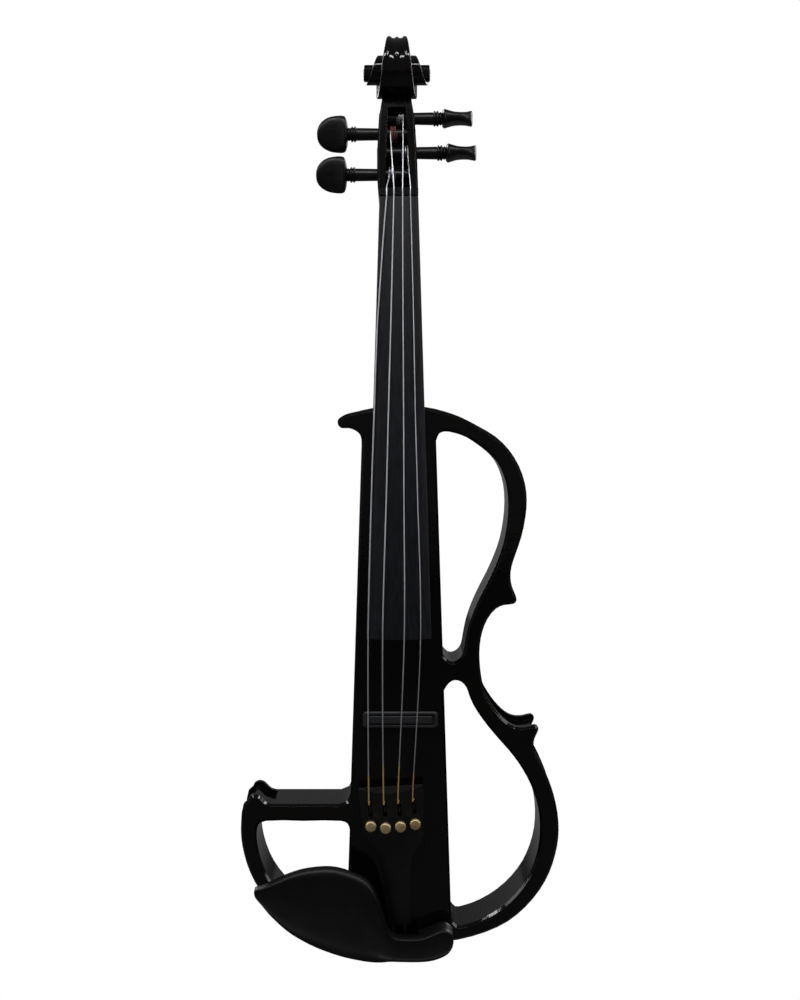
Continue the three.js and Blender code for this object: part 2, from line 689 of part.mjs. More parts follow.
// One stretch of the volute: a band whose inner edge reaches under the next turn
function voluteBand(fromStep, toStep) {
  const value = (shares, step) => {
    const place = step / voluteStepsPerQuarter;
    const index = Math.min(Math.floor(place), shares.length - 2);
    return mix(shares[index], shares[index + 1], place - index);
  };
  const rings = [];
  for (let step = fromStep; step <= toStep; step += 1) {
    const angle = (turn / 4) * (step / voluteStepsPerQuarter - 1);
    const outer = scrollTopRadius * value(voluteRadiusShares, step);
    const lastStep = (voluteRadiusShares.length - 1) * voluteStepsPerQuarter;
    const nextTurn = step + 4 * voluteStepsPerQuarter;
    const inner = nextTurn > lastStep ? scrollEyeRadius * 0.5
      : scrollTopRadius * value(voluteRadiusShares, nextTurn) - voluteOverlap;
    const half = (scrollWidth / 2) * value(voluteWidthShares, step);
    const place = (radius, x) => point(x, scrollCentreDepth + radius * Math.cos(angle),
      scrollCentreHeight + radius * Math.sin(angle));
    rings.push([place(inner, -half), place(outer - scrollCorner, -half), place(outer, -half + scrollCorner),
      place(outer - scrollCorner * 0.5, 0), place(outer, half - scrollCorner), place(outer - scrollCorner, half),
      place(inner, half)]);
  }
  return loft(rings);
}

function scroll() {
  const lastStep = (voluteRadiusShares.length - 1) * voluteStepsPerQuarter;
  const half = 2 * voluteStepsPerQuarter;
  const bands = [];
  for (let step = 0; step < lastStep; step += half) {
    bands.push(voluteBand(step, Math.min(step + half, lastStep)));
  }
  const eye = rod(point(-scrollWidth / 2, scrollCentreDepth, scrollCentreHeight), point(1, 0, 0), scrollWidth,
    scrollEyeRadius);
  return unite([...bands, eye]);
}

function neckAndScroll() {
  const { outside, cavity, bores } = pegbox();
  return cutAll(unite([neck(), outside, scroll()]), [cavity, ...bores]);
}

// Pegs: the thumb, the collar of two rings, and the tapered shaft through both cheeks
function thumbRing(along, halfWidth, halfThickness) {
  const steps = 16;
  return Array.from({ length: steps }, (unused, k) => {
    const angle = (turn * k) / steps;
    return point(along, halfThickness * Math.sin(angle), halfWidth * Math.cos(angle));
  });
}

function peg({ side, height, depth, reach }, upright) {
  const tip = pegboxHalf(pegboxShare(height)) + pegTipProud;
  const collarEnd = reach - pegNeckLength;
  const collarStart = collarEnd - pegCollarLength;
  const groove = pegCollarLength / 2;
  const shaft = turned([
    [-tip, pegRadiusAtTip], [collarStart, pegRadiusAtCollar], [collarStart + groove * 0.3, pegCollarRadius],
    [collarStart + groove * 0.75, pegCollarRadius], [collarStart + groove, pegRadiusAtCollar],
    [collarStart + groove * 1.25, pegCollarRadius], [collarStart + groove * 1.7, pegCollarRadius],
    [collarEnd, pegRadiusAtCollar], [reach + pegNeckLength, pegRadiusAtCollar * 0.9],
  ], point(0, 0, 0), point(1, 0, 0), pegSides);
  const thumb = loft(thumbShares.map(([along, wide, thick]) =>
    thumbRing(reach + along * pegThumbLength, wide * pegThumbHalfWidth, thick * pegThumbHalfThickness)));
  const whole = shaft.add(thumb);
  const half = side < 0 ? whole.rotate([0, 0, 180]) : whole;
  return half.rotate([upright ? 0 : 90, 0, 0]).translate([0, depth, height]);
}

const windingRadius = (peg) => pegRadiusAtCollar + gap + peg.diameter / 2;

// Where a string reaches the front of its peg, on the thumb's side of its turns
const windingEntry = (peg) => point(peg.side * peg.windingStart, peg.depth - windingRadius(peg), peg.height);

// The middle line of a winding: an unbroken helix with a straight run of one diameter at both ends
function windingPoints(peg) {
  const radius = windingRadius(peg);
  const steps = windingTurns * windingSteps;
  const entry = windingEntry(peg);
  const coil = Array.from({ length: steps + 1 }, (unused, k) => {
    const angle = (turn * k) / windingSteps;
    const x = entry.x - peg.side * windingPitch * (k / windingSteps);
    return point(x, peg.depth - radius * Math.cos(angle), peg.height + radius * Math.sin(angle));
  });
  const run = point(0, 0, peg.diameter);
  return [entry.clone().sub(run), ...coil, coil.at(-1).clone().add(run)];
}

// The least gap between two turns of a winding, measured on its points
function leastGap(points, diameter) {
  const away = Math.round(windingSteps / 2);
  let least = Infinity;
  for (let a = 0; a < points.length; a += 1) {
    for (let b = a + away; b < points.length; b += 1) {
      least = Math.min(least, points[a].distanceTo(points[b]) - diameter);
    }
  }
  return least;
}

// A round tube through points, each ring square to the way through its point
function tubeThrough(points, diameter) {
  const rings = points.map((place, k) => {
    const before = points[Math.max(k - 1, 0)];
    const after = points[Math.min(k + 1, points.length - 1)];
    const along = after.clone().sub(before).normalize();
    const across = point(1, 0, 0).projectOnPlane(along).normalize();
    const up = along.clone().cross(across);
    return Array.from({ length: stringSides }, (unused, n) => {
      const angle = (turn * n) / stringSides;
      return place.clone().addScaledVector(across, (diameter / 2) * Math.cos(angle))
        .addScaledVector(up, (diameter / 2) * Math.sin(angle));
    });
  });
  return loft(rings);
}

function winding(peg) {
  const points = windingPoints(peg);
  console.log(`winding_${peg.name}: least gap to itself ${leastGap(points, peg.diameter).toFixed(2)} mm`);
  return tubeThrough(points, peg.diameter);
}

// Strings, slack as they lie: from the peg over the nut and the board to the fine tuner. Each starts clear of
// what its winding sweeps as the peg turns.
function string(peg) {
  const clear = peg.diameter / 2 + gap;
  const side = nutSide(peg.name);
  const overNut = point(side, -boardFront(boardTop) - nutRise + crownDrop(side) - gap,
    boardTop + nutLength + peg.diameter);
  const sweep = Math.hypot(windingRadius(peg), peg.diameter) + peg.diameter / 2;
  const drop = Math.sqrt((sweep + clear) ** 2 - windingRadius(peg) ** 2);
  const atPeg = windingEntry(peg).sub(point(0, 0, drop));
  const straight = atPeg.clone().sub(point(0, 0, peg.diameter));
  const overBoard = stringRoutes[peg.name].map(([height, x]) =>
    point(x, stringBed(x, height) - clear, height));
  return tubeThrough([atPeg, straight, overNut, ...overBoard, ...tunerPoints(peg)], peg.diameter);
}

// Tailpiece with four tuners let in, drawn from its foot upwards
const tailPlace = (x, y, z) => {
  const turnedPlace = point(x, y, z).applyAxisAngle(point(0, 1, 0), -tailTilt);
  return turnedPlace.add(point(tailPivotSide, 0, tailPivotHeight));
};
const tailHalf = (height) => tailHalfAtTop * between(tailShares, height / tailLength);
const tailFront = (height) => mix(tailFrontAtFoot, tailFrontAtTop, height / tailLength);
const tailSurface = (x, height) => -tailFront(height) + tailCrown * (x / tailHalf(height)) ** 2
  * (tailHalf(height) / tailHalfAtTop);
const tunerX = (peg) => (pegs.indexOf(peg) - (pegs.length - 1) / 2) * tunerSpacing;
const gutHoleSide = tailHalf(0) / 2;
const gutHoleDepth = tailSurface(0, 0) + (tailSkirt + tailWall) / 2;

// Where a string crosses the top edge of the tailpiece, and where it ends over the fork of its tuner
function tunerPoints(peg) {
  const x = tunerX(peg);
  const clear = gap + peg.diameter;
  const slotTop = tunerSlotHeight + tunerSlotLength / 2;
  return [tailLength + gap, slotTop - clear].map((height) => tailPlace(x, tailSurface(x, height) - clear, height));
}

function tailRing(height, raise = 0, shrink = 0, skirt = tailSkirt) {
  const steps = 8;
  const half = tailHalf(height) - shrink;
  const top = Array.from({ length: steps + 1 }, (unused, k) => {
    const x = mix(-half, half, k / steps);
    return point(x, tailSurface(x, height) + raise, height);
  });
  const edge = tailSurface(half, height) + skirt;
  return [...top, point(half, edge, height), point(-half, edge, height)];
}

function tailpiece() {
  const whole = loft(tailShares.map(([share]) => tailRing(share * tailLength, share > 0 ? 0 : tailWall / 2)));
  const hollow = loft([tailHollowFrom, tailLength - tailWall * 2].map((height) =>
    tailRing(height, tailWall, tailSideWall, tailSkirt + overrun)));
  const cuts = pegs.flatMap((peg) => {
    const x = tunerX(peg);
    const surface = tailSurface(x, tunerSlotHeight);
    const slot = box(point(x - tunerSlotWidth / 2, surface - overrun, tunerSlotHeight - tunerSlotLength / 2),
      point(x + tunerSlotWidth / 2, surface + overrun, tunerSlotHeight + tunerSlotLength / 2));
    const bore = rod(point(x, surface - overrun, tunerHeight), point(0, 1, 0), 3 * overrun,
      tunerScrewRadius + gap);
    return [slot, bore];
  });
  const gutHoles = [-1, 1].map((side) => rod(point(side * gutHoleSide, gutHoleDepth, -overrun),
    point(0, 0, 1), 2 * overrun + tailWall, tailgutRadius + gap, smallSides));
  return cutAll(whole, [hollow, ...cuts, ...gutHoles]);
}

function tunerScrew(peg) {
  const x = tunerX(peg);
  const surface = tailSurface(x, tunerHeight);
  const head = turned([[0, tunerHeadRadius * 0.8], [tunerHeadLength * 0.25, tunerHeadRadius],
    [tunerHeadLength * 0.85, tunerHeadRadius], [tunerHeadLength, tunerHeadRadius * 0.85]],
  point(x, surface - tunerHeadRise - tunerHeadLength, tunerHeight), point(0, 1, 0), smallSides);
  const shank = rod(point(x, surface - tunerHeadRise - tunerHeadLength / 2, tunerHeight), point(0, 1, 0),
    tunerHeadRise + tunerHeadLength / 2 + tailWall + gap, tunerScrewRadius, stringSides);
  return head.add(shank);
}

// A bent lever: its fork stands in the slot and its tail lies under the screw
function tunerLever(peg) {
  const x = tunerX(peg);
  const surface = tailSurface(x, tunerSlotHeight);
  const under = tailSurface(x, tunerHeight) + tailWall + 2 * gap;
  const forkFront = surface + tailWall / 4;
  const forkLow = tunerSlotHeight - tunerSlotLength / 4;
  const tail = tunerHeight - tunerScrewRadius;
  const profile = [
    [forkFront, forkLow], [forkFront, forkLow + tunerLeverWidth],
    [under + tunerLeverWidth / 2, forkLow + 2 * tunerLeverWidth],
    [under + tunerLeverWidth, forkLow + tunerLeverWidth],
    [under + tunerLeverWidth, tail], [under, tail], [under, forkLow - tunerLeverWidth / 2],
  ];
  return crosswise(profile, x - tunerLeverWidth / 2, x + tunerLeverWidth / 2);
}

// Saddle, endpin and tailgut
function saddle() {
  const top = saddleHalf * 0.92;
  const outline = [[-saddleHalf, gap], [saddleHalf, gap], [top, saddleWidth], [-top, saddleWidth]];
  return slab(outline, [], -gap - saddleHeight, -gap, 0);
}

function endpin() {
  return turned([
    [-endpinKnobLength, endpinKnobRadius * 0.55], [-endpinKnobLength * 0.94, endpinKnobRadius * 0.85],
    [-endpinKnobLength * 0.8, endpinKnobRadius], [-endpinKnobLength * 0.55, endpinKnobRadius * 0.92],
    [-endpinKnobLength * 0.4, endpinKnobRadius * 0.6], [-endpinKnobLength * 0.2, endpinKnobRadius * 0.6],
    [-endpinKnobLength * 0.1, endpinKnobRadius], [-gap, endpinKnobRadius], [-gap, endpinShaftRadius],
    [endpinShaftLength - 2 * gap, endpinShaftRadius * 0.9],
  ], point(0, endpinDepth, 0), point(0, 0, 1), smallSides);
}

function tailgut() {
  const side = gutHoleSide;
  const start = tailPlace(-side, gutHoleDepth, tailWall);
  const finish = tailPlace(side, gutHoleDepth, tailWall);
  const wrap = endpinKnobRadius * 0.6 + tailgutRadius + gap;
  const low = -endpinKnobLength * 0.3;
  const front = -gap * 2 - saddleHeight - tailgutRadius;
  const leg = (end, sign) => [end, point(mix(end.x, sign * side, 0.6), mix(end.y, front, 0.6), saddleWidth),
    point(sign * wrap * 0.9, front, saddleWidth * 0.3), point(sign * wrap, front * 0.6, low),
    point(sign * wrap, mix(front, endpinDepth, 0.6), low)];
  const around = [-0.75, 0, 0.75].map((k) => point(wrap * Math.sin(k), endpinDepth + wrap * Math.cos(k), low));
  const route = [...leg(start, -1), point(-wrap, endpinDepth, low), ...around, point(wrap, endpinDepth, low),
    ...leg(finish, 1).reverse()];
  return tube(new THREE.CatmullRomCurve3(route, false, "centripetal"), tailgutSteps, tailgutRadius);
}

// Pickup
function pickupFrame() {
  const frame = slab(roundedRectangle(pickupSide, pickupHeight, pickupLength, pickupWidth, pickupWidth * 0.2), [],
    -gap - pickupRise, -gap, pickupRise * 0.25);
  const well = slab(roundedRectangle(pickupSide, pickupHeight, pickupBarLength + 2 * pickupGroove,
    pickupBarWidth + 2 * pickupGroove, pickupGroove), [], -2 * pickupRise, -gap - pickupRise * 0.4);
  return frame.subtract(well);
}

function pickupBar() {
  return slab(roundedRectangle(pickupSide, pickupHeight, pickupBarLength, pickupBarWidth, pickupGroove), [],
    -gap - pickupRise, -2 * gap - pickupRise * 0.4, pickupGroove * 0.4);
}

// Chin rest
const chinX = (share) => chinMiddle + share * chinHalfLength;

function chinRing([along, low, high, front]) {
  const x = chinX(along);
  const [lower, upper] = [low, high].map((share) => share * chinBreadth - chinDrop);
  const breadth = upper - lower;
  const top = -mix(chinSeat, chinRimFront, front);
  const dish = Math.min(chinDish, breadth * 0.1);
  const edge = Math.min(chinPlate * 0.35, breadth * 0.3);
  const reached = ([from, to]) => Math.min(1, Math.max(0, (along - from) / (to - from)));
  const seated = reached(chinSeatedShares);
  const arm = reached(chinArmShares);
  const under = mix(top + chinPlate, -chinSeat, seated);
  const z = (share) => mix(lower, upper, share);
  const backLow = (share) => mix(z(share), Math.max(z(share), chinBackLow), seated);
  return [
    point(x, under, backLow(0.12)), point(x, under - edge, backLow(0)), point(x, top + edge, z(0)),
    point(x, top, z(0.06)), point(x, top + dish * 0.55, z(0.2)), point(x, top + dish, z(0.5)),
    point(x, top + dish * 0.6, z(0.78)), point(x, top, z(0.93)), point(x, top + edge, z(1)),
    point(x, top + chinPlate * 0.8, z(0.98)),
    point(x, mix(top + chinPlate, under, mix(0.15, 0.5, arm)), z(mix(0.75, 0.97, arm))),
    point(x, mix(top + chinPlate, under, mix(0.6, 1, arm)), z(mix(0.45, 0.92, arm))),
  ];
}

function chinRest() {
  const plate = loft(chinShares.map(chinRing));
  const roomHalf = saddleHalf + 2 * gap;
  const tailRoom = box(point(-roomHalf, -chinTailRoom, -overrun), point(roomHalf, overrun, chinBreadth));
  const hooks = [-1, 1].map((side) => rod(point(side * clampSpacing, -clampHookFront, -clampOffset),
    point(0, 0, 1), clampOffset + clampBite + gap, clampRodRadius + gap, pegSides));
  return cutAll(plate, [tailRoom, ...hooks]);
}

function chinPad(shares) {
  const [from, to] = shares.map((share) => share * clampSpacing);
  return slab(roundedRectangle((from + to) / 2, chinPadHeight, to - from, chinPadWidth, chinPadCorner), [],
    -gap - chinCork, -gap);
}

function clampHook(side) {
  const x = side * clampSpacing;
  const bend = clampRodRadius * 2;
  const low = clampDepth - clampBarrelLength / 2 + clampBite;
  const path = new THREE.CurvePath();
  const corner = point(x, -clampHookFront, -clampOffset);
  const [bendStart, bendEnd] = [corner.clone().add(point(0, bend, 0)), corner.clone().add(point(0, 0, bend))];
  path.add(new THREE.LineCurve3(point(x, low, -clampOffset), bendStart));
  path.add(new THREE.QuadraticBezierCurve3(bendStart, corner, bendEnd));
  path.add(new THREE.LineCurve3(bendEnd, point(x, -clampHookFront, clampBite)));
  return tube(path, smallSides, clampRodRadius, smallSides);
}

const clampDepth = bodyDepth * 0.5;

function clampBarrel(side) {
  const base = point(side * clampSpacing, clampDepth - clampBarrelLength / 2, -clampOffset);
  const outside = turned([[0, clampBarrelRadius * 0.85], [clampBarrelLength * 0.08, clampBarrelRadius],
    [clampBarrelLength * 0.92, clampBarrelRadius], [clampBarrelLength, clampBarrelRadius * 0.85]],
  base, point(0, 1, 0), pegSides);
  const bore = rod(base.clone().add(point(0, -overrun, 0)), point(0, 1, 0), clampBarrelLength + 2 * overrun,
    clampRodRadius + gap, pegSides);
  const pinHoles = [0.35, 0.65].map((share) => rod(
    base.clone().add(point(-2 * clampBarrelRadius, clampBarrelLength * share, 0)), point(1, 0, 0),
    4 * clampBarrelRadius, clampRodRadius * 0.55, stringSides));
  return cutAll(outside, [bore, ...pinHoles]);
}

function clampFoot() {
  const back = bodyDepth + gap + chinCork + gap;
  const reach = clampSpacing + clampRodRadius * 2;
  const bar = slab(roundedRectangle(0, clampFootDepth / 2 - clampOffset - clampRodRadius, 2 * reach,
    clampFootDepth, clampRodRadius), [], back, back + clampFootThickness, clampFootThickness * 0.2);
  const posts = [-1, 1].map((side) => rod(point(side * clampSpacing, clampDepth + clampBarrelLength / 2 - clampBite,
    -clampOffset), point(0, 1, 0), back + clampFootThickness / 2 - clampDepth - clampBarrelLength / 2 + clampBite,
  clampRodRadius, pegSides));
  return unite([bar, ...posts]);
}

function clampFootPad() {
  const top = clampFootDepth - clampOffset - clampRodRadius;
  return slab(roundedRectangle(0, top / 2 + gap, 2 * clampSpacing, top - 2 * gap, clampRodRadius), [],
    bodyDepth + gap, bodyDepth + gap + chinCork);
}

// Battery bay, battery and hinged door
const bayHalfWidth = batteryWidth / 2 + baySideClearance;
const bayHalfLength = batteryLength / 2 + bayEndRoom;
const bayDepth = batteryThickness + doorThickness + 2 * baySideClearance;
const doorHalfWidth = bayHalfWidth + doorMargin;
const doorHalfLength = bayHalfLength + doorMargin;
const bayHeight = bodyLength - mortiseDepth - bayDrop - doorHalfLength;

function battery() {
  const floor = bodyDepth - bayDepth + gap;
  return slab(roundedRectangle(0, bayHeight - gap, batteryWidth, batteryLength, batteryCorner), [],
    floor, floor + batteryThickness, gap);
}

function batteryContact(side) {
  const top = bayHeight + bayHalfLength - gap;
  const low = bayHeight + batteryLength / 2 + gap * 0.5;
  const x = (side * batteryWidth) / 4;
  const depth = bodyDepth - doorThickness - batteryThickness / 2;
  const half = batteryContactSize / 2;
  return box(point(x - half, depth - half, low), point(x + half, depth + half, top));
}

function batteryDoor() {
  const leaf = slab(roundedRectangle(doorHingeRadius / 2, bayHeight, 2 * doorHalfWidth - doorHingeRadius,
    2 * doorHalfLength, doorCorner), [], bodyDepth - doorThickness, bodyDepth, gap);
  const knuckle = rod(point(-doorHalfWidth + doorHingeRadius, bodyDepth - doorHingeRadius,
    bayHeight - doorHalfLength * 0.7), point(0, 0, 1), doorHalfLength * 1.4, doorHingeRadius, smallSides);
  const notchHalf = doorNotchLength / 2;
  const notch = box(point(doorHalfWidth - doorNotchDepth, bodyDepth - doorThickness / 2, bayHeight - notchHalf),
    point(doorHalfWidth + overrun, bodyDepth + overrun, bayHeight + notchHalf));
  return leaf.subtract(notch).add(knuckle);
}

// Preamp behind its panel, with the two knobs and the power switch
const panelHeight = bayHeight - doorHalfLength - panelDrop - panelHalfLength;
const knobHeights = { volume: panelHeight + knobSpacing, tone: panelHeight };
const switchHeight = panelHeight - knobSpacing;

function preampPanel() {
  const plate = slab(roundedRectangle(0, panelHeight, 2 * panelHalfWidth, 2 * panelHalfLength, panelCorner), [],
    bodyDepth - panelThickness, bodyDepth, gap);
  const shafts = Object.values(knobHeights).map((height) => rod(point(0, 0, height), point(0, 1, 0), 2 * bodyDepth,
    potShaftRadius + gap));
  const slot = box(point(-switchLength / 2 - switchTravel, 0, switchHeight - switchWidth / 2 - gap),
    point(switchLength / 2 + switchTravel, 2 * bodyDepth, switchHeight + switchWidth / 2 + gap));
  return cutAll(plate, [...shafts, slot]);
}

function preampBoard() {
  const deep = bodyDepth - pocketDepth + gap;
  const side = panelHalfWidth - pocketMargin - gap;
  const end = panelHalfLength - pocketMargin - gap;
  const seat = deep + circuitThickness / 2;
  const board = box(point(-side, deep, panelHeight - end), point(side, deep + circuitThickness, panelHeight + end));
  const potHalf = knobSpacing * 0.3;
  const pots = Object.values(knobHeights).map((height) => box(point(-potHalf, seat, height - potHalf),
    point(potHalf, bodyDepth - panelThickness - 2 * gap, height + potHalf)));
  const slider = box(point(-switchLength - switchTravel / 2, seat, switchHeight - switchWidth),
    point(switchLength + switchTravel / 2, bodyDepth - panelThickness - 4 * gap, switchHeight + switchWidth));
  return unite([board, ...pots, slider]);
}

function knob(height) {
  const shape = new THREE.Shape();
  for (let k = 0; k < knobRibs * 2; k += 1) {
    const angle = (turn * k) / (knobRibs * 2);
    const radius = k % 2 ? knobRadius : knobRadius * 0.94;
    shape[k ? "lineTo" : "moveTo"](radius * Math.cos(angle), radius * Math.sin(angle));
  }
  shape.closePath();
  const geometry = new THREE.ExtrudeGeometry(shape, { depth: knobLength - 2 * knobChamfer, bevelEnabled: true,
    bevelThickness: knobChamfer, bevelSize: knobChamfer, bevelOffset: -knobChamfer, bevelSegments: 1, steps: 1 });
  geometry.rotateX(-Math.PI / 2);
  const base = bodyDepth + 2 * gap;
  geometry.translate(0, base + knobChamfer, height);
  const pointer = box(point(-knobPointerWidth / 2, base + knobLength * 0.4, height + knobRadius * 0.45),
    point(knobPointerWidth / 2, base + knobLength + overrun, height + 2 * knobRadius));
  const foot = bodyDepth - panelThickness - gap;
  const shaft = rod(point(0, foot, height), point(0, 1, 0), base + knobLength / 3 - foot, potShaftRadius - gap);
  return solid(geometry).subtract(pointer).add(shaft);
}

function powerSwitch() {
  const middle = -switchTravel / 2;
  const front = bodyDepth - panelThickness - 3 * gap;
  const button = box(point(middle - switchLength / 2, front, switchHeight - switchWidth / 2),
    point(middle + switchLength / 2, bodyDepth + switchRise, switchHeight + switchWidth / 2));
  const grooves = [-1, 0, 1].map((k) => box(
    point(middle + k * switchRibSpacing - gap, bodyDepth + switchRise / 2, switchHeight - switchWidth),
    point(middle + k * switchRibSpacing + gap, bodyDepth + overrun, switchHeight + switchWidth)));
  return cutAll(button, grooves);
}

// Output sockets in the treble side of the spine
const jackDepth = bodyDepth / 2;
const jackHeight = panelHeight - panelHalfLength - jackDrop;
const jackSockets = [
  { name: "output_jack", height: jackHeight, radius: jackRadius, bore: jackBoreRadius },
  { name: "headphone_jack", height: jackHeight - jackSpacing, radius: miniJackRadius, bore: miniJackBoreRadius },
];

function jackSeats() {
  return jackSockets.flatMap(({ height, radius }) => {
    const face = spineHalf(height);
    return [
      rod(point(face - jackLength, jackDepth, height), point(1, 0, 0), jackLength + overrun, radius + gap),
      rod(point(face - jackFlange - gap, jackDepth, height), point(1, 0, 0), overrun, radius + jackFlangeStep + gap),
    ];
  });
}

function jackSocket({ height, radius, bore }) {
  const face = spineHalf(height);
  const start = point(face - jackLength + gap, jackDepth, height);
  const length = jackLength - gap;
  const flange = radius + jackFlangeStep;
  const outside = turned([[0, radius], [length - jackFlange, radius], [length - jackFlange, flange],
    [length - gap, flange], [length, flange - gap]], start, point(1, 0, 0));
  const floor = start.clone().add(point(jackFlange, 0, 0));
  return outside.subtract(rod(floor, point(1, 0, 0), jackLength + overrun, bore));
}

// The violin
const violin = new THREE.Group();
violin.position.set(0, -hangerDepth, -hangerHeight);
const tailGroup = new THREE.Group();
tailGroup.position.set(tailPivotSide, 0, tailPivotHeight);
tailGroup.rotation.y = -tailTilt;
violin.add(tailGroup);

violin.add(piece("body_frame", lacquer(), bodyFrame()));
violin.add(piece("neck_and_scroll", lacquer(), neckAndScroll()));
violin.add(piece("fingerboard", ebony(), fingerboard()));
violin.add(piece("nut", ebony(), nut()));
violin.add(piece("saddle", ebony(), saddle()));
violin.add(piece("endpin", ebony(), endpin()));
violin.add(piece("tailgut", blackPlastic(), tailgut()));
tailGroup.add(piece("tailpiece", blackPlastic(), tailpiece()));
for (const each of pegs) {
  violin.add(piece(`peg_${each.name}`, ebony(), peg(each, each.side < 0)));
  violin.add(piece(`winding_${each.name}`, steel(), winding(each)));
  violin.add(piece(`string_${each.name}`, steel(), string(each)));
  tailGroup.add(piece(`tuner_screw_${each.name}`, brass(), tunerScrew(each)));
  tailGroup.add(piece(`tuner_lever_${each.name}`, steel(), tunerLever(each)));
}
violin.add(piece("pickup_frame", blackPlastic(), pickupFrame()));
violin.add(piece("pickup_bar", blackPlastic(), pickupBar()));
violin.add(piece("chin_rest", blackPlastic(), chinRest()));
for (const [side, name] of [[-1, "left"], [1, "right"]]) {
  violin.add(piece(`chin_pad_${name}`, cork(), chinPad(chinPadShares[name])));
  violin.add(piece(`clamp_hook_${name}`, steel(), clampHook(side)));
  violin.add(piece(`clamp_barrel_${name}`, steel(), clampBarrel(side)));
}
violin.add(piece("clamp_foot", steel(), clampFoot()));
violin.add(piece("clamp_foot_pad", cork(), clampFootPad()));
violin.add(piece("battery", blackPlastic(), battery()));
for (const [side, name] of [[-1, "left"], [1, "right"]]) {
  violin.add(piece(`battery_contact_${name}`, brass(), batteryContact(side)));
}
violin.add(piece("battery_door", blackPlastic(), batteryDoor()));
violin.add(piece("preamp_panel", blackPlastic(), preampPanel()));
violin.add(piece("preamp_board", blackPlastic(), preampBoard()));
for (const [name, height] of Object.entries(knobHeights)) {
  violin.add(piece(`${name}_knob`, blackPlastic(), knob(height)));
}
violin.add(piece("power_switch", blackPlastic(), powerSwitch()));
for (const socket of jackSockets) violin.add(piece(socket.name, steel(), jackSocket(socket)));

export default violin;
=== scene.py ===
"""Looks of an open-bodied electric violin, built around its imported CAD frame."""
import json
import math

import bmesh
import bpy
from bpy.props import FloatProperty, FloatVectorProperty, PointerProperty
from mathutils import Matrix, Vector

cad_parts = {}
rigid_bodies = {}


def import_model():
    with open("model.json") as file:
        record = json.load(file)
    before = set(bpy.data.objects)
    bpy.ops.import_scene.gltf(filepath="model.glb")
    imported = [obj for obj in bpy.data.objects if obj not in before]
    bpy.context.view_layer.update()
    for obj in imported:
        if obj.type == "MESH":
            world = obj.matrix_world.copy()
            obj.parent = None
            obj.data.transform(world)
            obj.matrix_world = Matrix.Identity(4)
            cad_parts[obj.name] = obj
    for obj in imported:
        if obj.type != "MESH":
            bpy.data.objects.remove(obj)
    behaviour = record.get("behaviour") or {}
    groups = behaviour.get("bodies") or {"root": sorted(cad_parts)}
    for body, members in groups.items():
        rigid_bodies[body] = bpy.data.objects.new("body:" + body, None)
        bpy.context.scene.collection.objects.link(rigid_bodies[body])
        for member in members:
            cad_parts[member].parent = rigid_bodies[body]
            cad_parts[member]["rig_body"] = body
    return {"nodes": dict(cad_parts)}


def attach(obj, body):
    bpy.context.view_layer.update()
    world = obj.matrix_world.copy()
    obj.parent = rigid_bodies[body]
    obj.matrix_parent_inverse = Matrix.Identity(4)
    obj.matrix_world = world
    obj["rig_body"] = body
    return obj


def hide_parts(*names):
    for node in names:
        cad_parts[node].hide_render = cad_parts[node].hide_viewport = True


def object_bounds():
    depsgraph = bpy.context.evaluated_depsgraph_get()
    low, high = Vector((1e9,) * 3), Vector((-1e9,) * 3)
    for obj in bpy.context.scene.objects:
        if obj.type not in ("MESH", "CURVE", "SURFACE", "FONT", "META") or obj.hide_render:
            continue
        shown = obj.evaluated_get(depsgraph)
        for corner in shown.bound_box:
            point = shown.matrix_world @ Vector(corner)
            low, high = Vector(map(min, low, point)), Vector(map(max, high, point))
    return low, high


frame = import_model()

bl_info = {
    "name": "Electric violin",
    "version": (1, 0, 0),
    "blender": (4, 5, 0),
    "location": "View3D > Sidebar > Violin",
    "description": "Dresses the packed frame of an open-bodied electric violin",
    "category": "Object",
}

NODES = frame["nodes"]
CAD_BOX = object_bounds()
MM = 0.001
STRINGS = ("g", "d", "a", "e")

# Where the frame's origin lies from the body's front face and bottom edge, in millimetres
HANG_DEPTH = 25.0
HANG_HEIGHT = 536.0

# How near two vertices are joined, in millimetres: on a node's loose triangles and on a turned piece
NODE_MERGE, TURNED_MERGE = 0.002, 0.001
# Angles in degrees: faces that count as flat, edges that are rounded, and edges that are shaded sharp
FLAT_ANGLE, SHARP_EDGE, SMOOTH_ANGLE = 0.6, 30.0, 40.0
# The length after which a wave texture of scale 1 repeats
WAVE_LENGTH = math.pi / 10


def at(across, depth, height):
    """A point in millimetres from the middle, the body's front face and its bottom edge, in the frame."""
    return Vector((across, depth - HANG_DEPTH, height - HANG_HEIGHT)) * MM


def mix(low, high, share):
    """The value that lies the given share of the way from low to high."""
    return low + (high - low) * share


# Colours and materials

def linear(hex_colour):
    """One sRGB hex colour as linear red, green, blue and alpha."""
    channels = [int(hex_colour[k:k + 2], 16) / 255 for k in (1, 3, 5)]
    return [c / 12.92 if c <= 0.04045 else ((c + 0.055) / 1.055) ** 2.4 for c in channels] + [1.0]


def add_node(material, kind, sockets=None, links=None, **settings):
    """Adds one shader node to a material or world, with its settings, socket values and incoming links."""
    node = material.node_tree.nodes.new("ShaderNode" + kind)
    for name, value in settings.items():
        setattr(node, name, value)
    for name, value in (sockets or {}).items():
        node.inputs[name].default_value = value
    for name, output in (links or {}).items():
        material.node_tree.links.new(output, node.inputs[name])
    return node


def emptied(data):
    """A new material or world, cleared of its first nodes."""
    data.use_nodes = True
    data.node_tree.nodes.clear()
    return data


